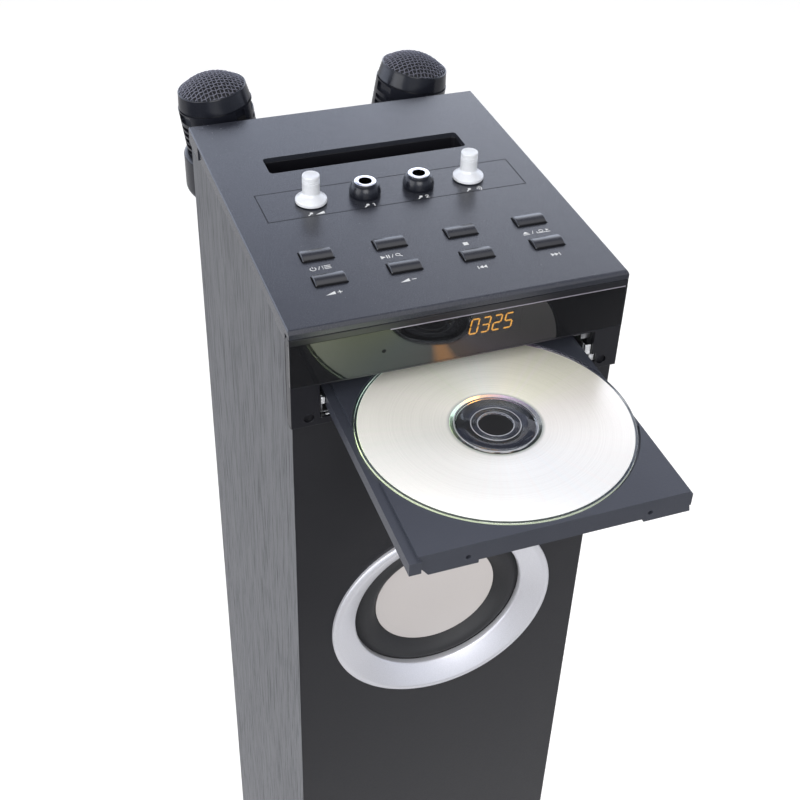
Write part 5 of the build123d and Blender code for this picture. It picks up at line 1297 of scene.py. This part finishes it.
def woven_tree():
    """One layer of the weave, cut off at the rim and thickened to round wire."""
    tree, entry, way_out = new_geometry_tree("woven_dome", WOVEN_SIZES)
    row = wire_row(tree, entry)
    place = split_axes(tree, tree.nodes.new("GeometryNodeInputPosition").outputs[0])
    x, y = place["X"], place["Y"]
    square = calculate(tree, "ADD", product(tree, x, x), product(tree, y, y))
    height = dome_height(tree, entry, square)
    z = calculate(tree, "ADD", height, weave_wave(tree, entry, x, y))
    beyond = calculate(tree, "GREATER_THAN", calculate(tree, "SQRT", square), entry["Radius"])
    kept = add_node(tree, "GeometryNodeDeleteGeometry", Geometry=row, Selection=beyond).outputs[0]
    point = joined_axes(tree, X=x, Y=y, Z=z)
    lifted = add_node(tree, "GeometryNodeSetPosition", Geometry=kept, Position=point).outputs[0]
    ring = add_node(
        tree, "GeometryNodeCurvePrimitiveCircle", Resolution=WIRE_SIDES, Radius=entry["Wire"]
    ).outputs[0]
    tube = add_node(tree, "GeometryNodeCurveToMesh", Curve=lifted, Profile_Curve=ring, Fill_Caps=True)
    return finish_tree(tree, entry, way_out, tube.outputs[0])


WOVEN = woven_tree()
print("tree:", WOVEN.name, "with", len(WOVEN.nodes), "nodes")

# %% [markdown]
# Under the wires lies a dome of dark foam, which keeps breath off the capsule, and round
# them runs a band that holds the cut ends. The body's edges are softened as before.

# %% Weave the grilles
MESH_PITCH = 2.1
WIRE_RADIUS = 0.26
WAVE_RISE = 0.24
WIRE_COUNT = 17
FOAM_RADIUS = RIM_RADIUS - 1.4
FOAM_DOME = DOME_HEIGHT - 1.9
FOAM_FOOT = -6.0


def grille_mesh(matrix):
    """Both layers of wire in one mesh, in the microphone's frame."""
    weave = bmesh.new()
    for quarter, wave in ((0, WAVE_RISE), (1, -WAVE_RISE)):
        layer = grown(
            WOVEN,
            bpy.data.meshes.new("scratch"),
            Material=FINISHES["mesh_wire"],
            Radius=(RIM_RADIUS - 0.6) * MM,
            Dome=(DOME_HEIGHT - 0.7) * MM,
            Pitch=MESH_PITCH * MM,
            Wire=WIRE_RADIUS * MM,
            Wave=wave * MM,
            Wires=WIRE_COUNT,
        )
        layer.transform(Matrix.Rotation(quarter * math.pi / 2, 4, "Z"))
        weave.from_mesh(layer)
        bpy.data.meshes.remove(layer)
    weave.transform(matrix)
    return as_mesh(weave, "grille", 80.0)


foam_sphere = (FOAM_RADIUS**2 + FOAM_DOME**2) / (2 * FOAM_DOME)
foam_profile = [(0.0, FOAM_FOOT), (RIM_RADIUS - 1.6, FOAM_FOOT)]
for step in range(13):
    reach = FOAM_RADIUS * (1 - step / 12)
    foam_profile.append((reach, math.sqrt(foam_sphere**2 - reach**2) - foam_sphere + FOAM_DOME))
band_profile = [(RIM_RADIUS - 1.3, -0.8), (RIM_RADIUS, -0.05), (RIM_RADIUS + 0.02, 0.25)]
band_profile += arc((RIM_RADIUS - 0.45, 0.3), 0.45, 0, 180, 6) + [(RIM_RADIUS - 1.3, 0.0)]

for side, matrix in MIC_FRAMES.items():
    body = f"mic_{side}"
    weave = grille_mesh(matrix)
    finish_piece(f"grille_wires_{side}", weave, body, "mic_mesh", "mesh_wire", f"mic_grille_{side}")
    foam = turned_mesh(f"grille_foam_{side}", foam_profile, matrix)
    finish_piece(foam.name, foam, body, "mic_mesh")
    band = turned_mesh(f"grille_band_{side}", closed(band_profile), matrix)
    finish_piece(band.name, band, body, "mic_plastic")
    soften(f"mic_body_{side}", 0.2)
    print(f"{side} grille: {len(weave.polygons)} faces of wire")

# %% [markdown]
# ## Printed signs
# Everything printed on the head is real geometry here, a layer of ink 0.03 mm thick, so
# that it stays crisp from any distance. Signs are made of bars, arcs and triangles: the
# usual pictograms for power, play, stop, eject, volume and skip need no words.

# %% Ink tools
INK = 0.03


def prism(shell, low_points, high_points):
    """A closed solid between two outlines that have equally many points."""
    low = [shell.verts.new(point) for point in low_points]
    high = [shell.verts.new(point) for point in high_points]
    shell.faces.new(high)
    shell.faces.new(list(reversed(low)))
    for index in range(len(low)):
        after = (index + 1) % len(low)
        shell.faces.new((low[index], low[after], high[after], high[index]))


def outward_mesh(shell, name):
    """Ends a bmesh as a mesh whose faces all point outwards."""
    bmesh.ops.recalc_face_normals(shell, faces=shell.faces)
    return as_mesh(shell, name)


def ink_shape(shell, outline):
    """A flat sign on the top face, from a closed outline in millimetres."""
    low, high = ([(x * MM, y * MM, TOP + rise * MM) for x, y in outline] for rise in (0.0, INK))
    prism(shell, low, high)


def ink_bar(shell, start, end, width):
    """A straight stroke with square ends."""
    run = Vector(end) - Vector(start)
    side = Vector((-run.y, run.x)).normalized() * width / 2
    corners = [Vector(start) - side, Vector(end) - side, Vector(end) + side, Vector(start) + side]
    ink_shape(shell, [tuple(corner) for corner in corners])


def ink_arc(shell, centre, radius, start, end, width, steps=20):
    """A bent stroke: outer points one way, inner points back."""
    outer = arc(centre, radius + width / 2, start, end, steps)
    inner = arc(centre, radius - width / 2, end, start, steps)
    ink_shape(shell, outer + inner)


print("ink tools ready")

# %% [markdown]
# Each sign is a short function that draws round a point. They go from left to right as
# on the head: power and input, play and search, stop, eject and tray, then the levels.

# %% Signs of the buttons


def sign_power(shell, x, y):
    ink_arc(shell, (x, y), 1.3, 125, 415, 0.36)
    ink_bar(shell, (x, y + 0.3), (x, y + 1.8), 0.36)


def sign_slash(shell, x, y):
    ink_bar(shell, (x - 0.5, y - 1.3), (x + 0.5, y + 1.3), 0.3)


def sign_list(shell, x, y):
    """Three lines with a dot before each, for a choice of inputs."""
    for row in (-1.1, 0.0, 1.1):
        ink_bar(shell, (x - 2.0, y + row), (x - 1.5, y + row), 0.42)
        ink_bar(shell, (x - 1.0, y + row), (x + 2.0, y + row), 0.42)


def sign_play(shell, x, y):
    ink_shape(shell, [(x - 2.1, y - 1.25), (x + 0.1, y), (x - 2.1, y + 1.25)])
    ink_bar(shell, (x + 0.75, y - 1.25), (x + 0.75, y + 1.25), 0.46)
    ink_bar(shell, (x + 1.75, y - 1.25), (x + 1.75, y + 1.25), 0.46)


def sign_search(shell, x, y):
    ink_arc(shell, (x - 0.4, y + 0.35), 0.95, 0, 350, 0.34)
    ink_bar(shell, (x + 0.3, y - 0.35), (x + 1.4, y - 1.4), 0.42)


def sign_stop(shell, x, y):
    ink_shape(shell, [(x - 1.2, y - 1.2), (x + 1.2, y - 1.2), (x + 1.2, y + 1.2), (x - 1.2, y + 1.2)])


def sign_eject(shell, x, y):
    ink_shape(shell, [(x - 1.6, y - 0.3), (x + 1.6, y - 0.3), (x, y + 1.45)])
    ink_bar(shell, (x - 1.6, y - 1.1), (x + 1.6, y - 1.1), 0.46)


def sign_tray(shell, x, y):
    """A disc over a drawer, with an arrow out of it."""
    ink_bar(shell, (x - 3.2, y - 1.1), (x + 3.2, y - 1.1), 0.46)
    ink_bar(shell, (x - 3.2, y - 1.1), (x - 3.2, y + 0.1), 0.42)
    ink_arc(shell, (x - 0.9, y + 0.4), 0.95, 0, 350, 0.34)
    ink_shape(shell, [(x + 1.6, y - 0.3), (x + 3.2, y + 0.5), (x + 1.6, y + 1.3)])


def sign_minus(shell, x, y):
    ink_bar(shell, (x - 1.1, y), (x + 1.1, y), 0.42)


def sign_plus(shell, x, y):
    bar, arm = 0.21, 1.1
    cross = [(-arm, -bar), (-bar, -bar), (-bar, -arm), (bar, -arm), (bar, -bar), (arm, -bar)]
    cross += [(arm, bar), (bar, bar), (bar, arm), (-bar, arm), (-bar, bar), (-arm, bar)]
    ink_shape(shell, [(x + u, y + v) for u, v in cross])


def sign_skip(shell, x, y, way):
    for shift in (-2.2, -0.4):
        tip, tail = x + way * (shift + 1.8), x + way * shift
        points = [(tail, y - 1.2), (tip, y), (tail, y + 1.2)]
        ink_shape(shell, points if way > 0 else list(reversed(points)))
    ink_bar(shell, (x + way * 1.9, y - 1.2), (x + way * 1.9, y + 1.2), 0.42)


def sign_wedge(shell, x, y):
    ink_shape(shell, [(x - 2.2, y - 1.1), (x + 2.2, y - 1.1), (x + 2.2, y + 1.1)])


print("button signs ready")

# %% Signs of the jacks and knobs


def sign_echo(shell, x, y):
    for radius in (1.0, 2.0, 3.0):
        ink_arc(shell, (x - 1.6, y), radius, -40, 40, 0.38, 10)


def sign_microphone(shell, x, y):
    """A head and a tapered handle, leaning to the left."""
    ink_arc(shell, (x + 0.6, y + 0.5), 0.42, 0, 350, 0.8)
    ink_bar(shell, (x + 0.1, y - 0.1), (x - 1.2, y - 1.3), 0.62)


def sign_one(shell, x, y):
    ink_bar(shell, (x + 0.1, y - 1.25), (x + 0.1, y + 1.25), 0.42)
    ink_bar(shell, (x - 0.6, y + 0.65), (x + 0.05, y + 1.15), 0.36)


def sign_two(shell, x, y):
    ink_arc(shell, (x, y + 0.5), 0.68, -15, 180, 0.40, 12)
    ink_bar(shell, (x + 0.64, y + 0.34), (x - 0.68, y - 1.05), 0.40)
    ink_bar(shell, (x - 0.85, y - 1.1), (x + 0.85, y - 1.1), 0.36)


print("jack and knob signs ready")

# %% Print the signs
SIGN_COLUMNS = (-51.8, -18.0, 17.0, 52.9)
REAR_SIGNS = -28.9
FRONT_SIGNS = -49.0
JACK_SIGNS = 16.1
SIGNS = (
    (sign_power, -55.2, REAR_SIGNS),
    (sign_slash, -52.4, REAR_SIGNS),
    (sign_list, -49.0, REAR_SIGNS),
    (sign_play, -21.6, REAR_SIGNS),
    (sign_slash, -18.2, REAR_SIGNS),
    (sign_search, -15.2, REAR_SIGNS),
    (sign_stop, SIGN_COLUMNS[2], REAR_SIGNS),
    (sign_eject, 47.0, REAR_SIGNS),
    (sign_slash, 50.4, REAR_SIGNS),
    (sign_tray, 55.6, REAR_SIGNS),
    (sign_wedge, SIGN_COLUMNS[0] - 1.6, FRONT_SIGNS),
    (sign_plus, SIGN_COLUMNS[0] + 2.7, FRONT_SIGNS),
    (sign_wedge, SIGN_COLUMNS[1] - 1.6, FRONT_SIGNS),
    (sign_minus, SIGN_COLUMNS[1] + 2.7, FRONT_SIGNS),
    (sign_microphone, -43.0, JACK_SIGNS),
    (sign_wedge, -38.4, JACK_SIGNS),
    (sign_microphone, -15.2, JACK_SIGNS),
    (sign_one, -11.6, JACK_SIGNS),
    (sign_microphone, 11.6, JACK_SIGNS),
    (sign_two, 15.2, JACK_SIGNS),
    (sign_microphone, 36.6, JACK_SIGNS),
    (sign_echo, 41.8, JACK_SIGNS),
)
signs = bmesh.new()
for draw, x, y in SIGNS:
    draw(signs, x, y)
sign_skip(signs, SIGN_COLUMNS[2], FRONT_SIGNS, -1)
sign_skip(signs, SIGN_COLUMNS[3], FRONT_SIGNS, 1)
sign_mesh = outward_mesh(signs, "printed_signs")
finish_piece("printed_signs", sign_mesh, "cabinet", "button_plastic", "white_print")
print("signs:", len(sign_mesh.polygons), "faces")

# %% [markdown]
# A thin dark line frames the microphone controls. It is one closed ribbon of four bars,
# printed like the signs.

# %% Control frame line
FRAME_LEFT = -63.8
FRAME_RIGHT = 65.9
FRAME_FRONT = 14.0
FRAME_BACK = 39.4
LINE_WIDTH = 0.42


def ribbon(shell, corners, width):
    """Bars along a closed path; each runs on by half a width to close its corner."""
    for start, end in zip(corners, corners[1:] + corners[:1]):
        run = (Vector(end) - Vector(start)).normalized() * width / 2
        ink_bar(shell, tuple(Vector(start) - run), tuple(Vector(end) + run), width)


frame_left = [(FRAME_LEFT, FRAME_BACK), (FRAME_LEFT, FRAME_FRONT)]
frame_right = [(FRAME_RIGHT, FRAME_FRONT), (FRAME_RIGHT, FRAME_BACK)]
line = bmesh.new()
ribbon(line, frame_left[1:] + frame_right + frame_left[:1], LINE_WIDTH)
line_mesh = outward_mesh(line, "control_frame_line")
finish_piece("control_frame_line", line_mesh, "cabinet", "button_plastic", "black_print")
print(f"frame {FRAME_RIGHT - FRAME_LEFT:.0f} x {FRAME_BACK - FRAME_FRONT:.0f} mm")

# %% [markdown]
# ## Display
# Behind the smoked window sit four slanted digits of seven segments. Each segment is a
# long hexagon, and a table says which of them are lit for a figure. Lit ones glow, and
# the unlit ones stay faintly visible as grey plastic.

# %% Seven segments
DIGIT_WIDTH = 3.5
DIGIT_HEIGHT = 7.6
DIGIT_PITCH = 5.4
DIGIT_LEFT = 3.0
DIGIT_DROP = 15.2
SLANT = math.tan(math.radians(9))
SEGMENT_WIDTH = 0.72
SEGMENT_RISE = 0.06
SHOWN = "0325"
FIGURES = {"0": "abcdef", "2": "abged", "3": "abgcd", "5": "afgcd"}
SEGMENT_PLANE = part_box("display_module")[0].y


def segment_outline(start, end, width):
    """A hexagon from one end point to the other, with pointed ends."""
    run = (Vector(end) - Vector(start)).normalized()
    side = Vector((-run.y, run.x)) * width / 2
    first, last = Vector(start) + run * 0.12, Vector(end) - run * 0.12
    inset = run * width / 2
    points = [first, first + inset - side, last - inset - side, last, last - inset + side]
    return points + [first + inset + side]


def segment_ends(width, height):
    """End points of the seven segments, from the top bar round to the middle one."""
    half = height / 2
    return {
        "a": ((0, height), (width, height)),
        "b": ((width, half), (width, height)),
        "c": ((width, 0), (width, half)),
        "d": ((0, 0), (width, 0)),
        "e": ((0, 0), (0, half)),
        "f": ((0, half), (0, height)),
        "g": ((0, half), (width, half)),
    }


def figure_mesh(name, lit):
    """All segments that are lit, or all that aren't, as one thin mesh."""
    shell = bmesh.new()
    ends = segment_ends(DIGIT_WIDTH, DIGIT_HEIGHT)
    for place, figure in enumerate(SHOWN):
        left = DIGIT_LEFT + place * DIGIT_PITCH
        for key in ends:
            if (key in FIGURES[figure]) != lit:
                continue
            outline = segment_outline(*ends[key], SEGMENT_WIDTH)
            points = [(left + u + v * SLANT, v - DIGIT_DROP - DIGIT_HEIGHT / 2) for u, v in outline]
            planes = (SEGMENT_PLANE, SEGMENT_PLANE - SEGMENT_RISE * MM)
            back, front = ([(x * MM, y, TOP + z * MM) for x, z in points] for y in planes)
            prism(shell, back, front)
    return outward_mesh(shell, name)


for name, lit, finish in (("segments_lit", True, "segment_lit"), ("segments_dark", False, "module_grey")):
    segments = figure_mesh(name, lit)
    finish_piece(name, segments, "cabinet", "numeral_module", finish)
    print(f"{name}: {len(segments.polygons) // 8}")

# %% [markdown]
# A small black eye for the remote control sits in the window, left of the digits.

# %% Remote eye
EYE_X = -36.8
EYE_DROP = 18.2
eye_profile = [(0.0, -0.2), (1.0, -0.2), (1.0, -0.02), (0.9, 0.03), (0.0, 0.03)]
eye_frame = frame_at((EYE_X * MM, FRONT, TOP - EYE_DROP * MM), FORWARD)
eye_mesh = turned_mesh("remote_eye", eye_profile, eye_frame, 32)
finish_piece("remote_eye", eye_mesh, "cabinet", "button_plastic", "black_print")
print("remote eye at drop", EYE_DROP)

# %% [markdown]
# ## Screws
# Screws repeat, so one head is modelled with its cross recess and Geometry Nodes put a
# copy on each point of a small mesh, turned about its axis by a random angle with a fixed
# seed, because no two screws stop at the same angle.

# %% Screw head
HEAD_RADIUS = 2.3
HEAD_RISE = 1.15
RECESS = Vector((2.5, 0.5, 1.6)) * MM


def add_block(shell, low, high):
    """Adds a box between two corners and returns its points."""
    corners = bmesh.ops.create_cube(shell, size=1.0)["verts"]
    bmesh.ops.scale(shell, verts=corners, vec=high - low)
    bmesh.ops.translate(shell, verts=corners, vec=(low + high) / 2)
    return corners


def screw_head():
    """A pan head with a cross cut into it by a Boolean modifier."""
    profile = [(0.0, -0.2), (HEAD_RADIUS, -0.2), (HEAD_RADIUS, 0.25)]
    profile += [(HEAD_RADIUS - 0.15, 0.6), (HEAD_RADIUS - 0.6, 0.95), (1.0, HEAD_RISE), (0.0, HEAD_RISE)]
    head = turned_mesh("head", profile, Matrix.Identity(4), 40)
    cross = bmesh.new()
    middle = Vector((0, 0, (HEAD_RISE + 0.1) * MM))
    for angle in (0, math.pi / 2):
        bar = add_block(cross, middle - RECESS / 2, middle + RECESS / 2)
        bmesh.ops.rotate(cross, verts=bar, matrix=Matrix.Rotation(angle, 3, "Z"))
    cutter = placed("cutter", as_mesh(cross, "cutter"))
    cut = {"operation": "DIFFERENCE", "solver": "EXACT", "use_self": True, "object": cutter}
    mesh = modified(head, "BOOLEAN", **cut)
    bpy.data.objects.remove(cutter)
    smooth_by_angle(mesh, 30.0)
    return mesh


HEAD_MESH = screw_head()
print("screw head:", len(HEAD_MESH.polygons), "faces")

# %% Scatter tree


def scatter_tree():
    """Puts an object on every point, turned about its own axis by a seeded random angle."""
    tree, entry, way_out = new_geometry_tree("scatter_on_points", {"Size": 1.0, "Seed": 7})
    add_socket(tree, "Item", "Object")
    item = add_node(tree, "GeometryNodeObjectInfo", Object=entry["Item"]).outputs["Geometry"]
    angle = add_node(tree, "FunctionNodeRandomValue", Seed=entry["Seed"])
    angle.data_type = "FLOAT"
    highest = [each for each in angle.inputs if each.type == "VALUE"][1]
    highest.default_value = math.pi
    turn = [each for each in angle.outputs if each.type == "VALUE"][0]
    copies = add_node(
        tree,
        "GeometryNodeInstanceOnPoints",
        Points=entry["Geometry"],
        Instance=item,
        Rotation=joined_axes(tree, Z=turn),
        Scale=entry["Size"],
    )
    return finish_tree(tree, entry, way_out, copies.outputs[0])


SCATTER = scatter_tree()
print("tree:", SCATTER.name, "with", len(SCATTER.nodes), "nodes")

# %% [markdown]
# The tree works about Z, so the points are first turned into a frame whose Z is the
# direction that the screws face, and the grown heads are turned back.

# %% Place the screws
BACK_INSET = 6.0
BACK_ROWS = 5
BACK_PITCH = 212.0


def screws_at(name, places, facing, size=1.0, seed=7):
    """Screw heads at places in millimetres, on one plane that faces a direction."""
    frame_matrix = frame_at((0, 0, 0), facing)
    inverse = frame_matrix.inverted()
    points = bpy.data.meshes.new(name)
    points.from_pydata([tuple(inverse @ (Vector(place) * MM)) for place in places], [], [])
    item = placed("item", HEAD_MESH)
    steel = FINISHES["black_steel"]
    heads = grown(SCATTER, points, Item=item, Material=steel, Size=size, Seed=seed)
    bpy.data.objects.remove(item)
    heads.transform(frame_matrix)
    finish_piece(name, heads, "cabinet", "steel_screw")
    print(f"{name}: {len(places)}")


screw_low, screw_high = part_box("fascia_screws")
SCREW_X = screw_high.x * 1000 - HEAD_RADIUS
SCREW_Z = (screw_low.z + screw_high.z) * 500
fascia_places = [(side * SCREW_X, screw_low.y * 1000 + 1.0, SCREW_Z) for side in (-1, 1)]
screws_at("fascia_screw_heads", fascia_places, FORWARD)
back_low, back_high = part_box("back_panel")
back_x = back_high.x * 1000 - BACK_INSET
back_y = back_high.y * 1000 + 0.15
heights = [back_low.z * 1000 + BACK_INSET + 6 + step * BACK_PITCH for step in range(BACK_ROWS)]
back_places = [(side * back_x, back_y, height) for side in (-1, 1) for height in heights]
screws_at("back_screw_heads", back_places, (0, 1, 0), 1.3, 11)

# %% [markdown]
# ## Painted shadow strips and small steel
# The ends of the tray slot show the bright folded tips of the guide brackets, small
# blocks with rounded edges. A thin black strip runs down behind each cheek of the front
# moulding as painted shadow in the gap there, and a pale strip along the window's upper
# edge is a painted highlight.

# %% Rounded blocks


def rounded_blocks(name, blocks, width):
    """Small blocks, each from low to high corner in millimetres, with rounded edges."""
    shell = bmesh.new()
    for low, high in blocks:
        add_block(shell, Vector(low) * MM, Vector(high) * MM)
    rounded = modified(as_mesh(shell, name), "BEVEL", width=width * MM, segments=3)
    smooth_by_angle(rounded, 60.0)
    return rounded


CLIPS = (
    ((-64.2, -69.6, 857.4), (-62.4, -68.6, 860.8)),
    ((-62.4, -70.6, 849.9), (-57.8, -69.6, 852.3)),
    ((62.5, -70.4, 856.2), (65.2, -69.4, 861.4)),
    ((64.9, -70.4, 852.0), (67.4, -69.2, 855.6)),
)
clips = rounded_blocks("bracket_tips", CLIPS, 0.35)
finish_piece("bracket_tips", clips, "cabinet", "sheet_steel", "clip_steel")
TAB = ((60.4, -68.4, 864.3), (65.1, -67.6, 869.6))
finish_piece("bracket_tab", rounded_blocks("bracket_tab", (TAB,), 0.2), "cabinet", "sheet_steel")
print("bracket tips:", len(CLIPS))

# %% Painted shadow strips
SHADOW_STRIP_PROUD = 0.92
SHADOW_STRIP_WIDTH = 0.7
SHADOW_STRIP_GAP = 0.3
SHADOW_STRIP_LAP = 0.2
CHEEK_CORNER = 4.0
panel_low, panel_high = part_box("side_panel_left")
fascia_low, fascia_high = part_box("front_fascia")
shadow_strip_top = panel_high.z * 1000 - 0.3
cheek_back = fascia_high.y * 1000 + SHADOW_STRIP_GAP + SHADOW_STRIP_WIDTH / 2
corner = (fascia_high.y * 1000 - CHEEK_CORNER, fascia_low.z * 1000 + CHEEK_CORNER)
SHADOW_STRIP_PATH = [(cheek_back, shadow_strip_top)] + arc(corner, cheek_back - corner[0], 0, -85, 5)


def shadow_strip_mesh(name, side):
    """A dark square strip along the path, on the outside of a side panel: painted shadow in the gap behind
    the cheek.
    """
    near = panel_low.x * 1000
    shell = bmesh.new()
    for start, end in zip(SHADOW_STRIP_PATH, SHADOW_STRIP_PATH[1:]):
        run = (Vector(end) - Vector(start)).normalized()
        across = Vector((-run.y, run.x)) * SHADOW_STRIP_WIDTH / 2
        start, end = Vector(start) - run * SHADOW_STRIP_LAP, Vector(end) + run * SHADOW_STRIP_LAP
        corners = [start - across, end - across, end + across, start + across]
        planes = (near, near - SHADOW_STRIP_PROUD)
        inner, outer = ([(side * -x * MM, y * MM, z * MM) for y, z in corners] for x in planes)
        prism(shell, inner, outer)
    return outward_mesh(shell, name)


for side, word in ((-1, "left"), (1, "right")):
    painted_shadow_strip = shadow_strip_mesh(f"gasket_{word}", side)
    # Painted shadow: black strips stand in for the shade in the gap between each side panel and the front
    # cheek.
    finish_piece(painted_shadow_strip.name, painted_shadow_strip, "cabinet", "rubber", "black_print")
print("painted_shadow_strips ready")

# %% Window edge highlight
EDGE_LEFT = -34.0
window_low, window_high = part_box("display_window")
edge_block = (
    (EDGE_LEFT, window_low.y * 1000 - 0.04, window_high.z * 1000 - 0.42),
    (window_high.x * 1000 - 1.0, window_low.y * 1000 + 0.3, window_high.z * 1000 + 0.02),
)
edge_mesh = rounded_blocks("window_edge", (edge_block,), 0.03)
# Painted highlight: a pale strip stands in for the light caught along the window's upper edge.
finish_piece("window_edge", edge_mesh, "cabinet", "smoked_window", "polished_edge")
print("window edge ready")

# %% [markdown]
# ## Floor
# The tower stands on a plain pale floor. It gives off a little white for the camera, so
# it shows nearly white where light falls on it freely, and keeps the soft shadow of the
# base. Mirror rays see it bright near the tower and dark further off, which gives the
# disc and the window some depth.

# %% Floor
FLOOR_REACH = 6.0
FLOOR_NEAR = 0.30
FLOOR_FAR = 0.85
FLOOR_GLOW = 0.42
FLOOR_PALE = (0.85, 0.85, 0.85)


def make_floor():
    """A wide plane for the shadow and the mirror rays."""
    mesh = bpy.data.meshes.new("floor")
    corners = [(x * FLOOR_REACH, y * FLOOR_REACH, 0) for x, y in ((-1, -1), (1, -1), (1, 1), (-1, 1))]
    mesh.from_pydata(corners, [], [(0, 1, 2, 3)])
    floor = placed("floor", mesh)
    made, tree, shader = new_material("studio_floor", roughness=0.9)
    place = split_axes(tree, object_position(tree))
    forward = product(tree, place["Y"], -1.0)
    away = calculate(tree, "MULTIPLY_ADD", place["X"], -0.5, forward)
    near = remap(tree, away, FLOOR_NEAR, FLOOR_FAR, 1.0, 0.0)
    mirrored = blend_colours(tree, near, (0.05, 0.05, 0.06), (0.80, 0.80, 0.83))
    wire(tree, blend_colours(tree, mirror_ray(tree), FLOOR_PALE, mirrored), shader["Base Color"])
    wire(tree, WHITE, shader["Emission Color"])
    camera_ray = tree.nodes.new("ShaderNodeLightPath").outputs["Is Camera Ray"]
    wire(tree, product(tree, camera_ray, FLOOR_GLOW), shader["Emission Strength"])
    mesh.materials.append(made)


make_floor()
print("floor ready")

# %% [markdown]
# ## Close
# The last cell brings the scene up to date and prints how many pieces were made.

# %% Finish
bpy.context.view_layer.update()
print("pieces:", len(PIECES))
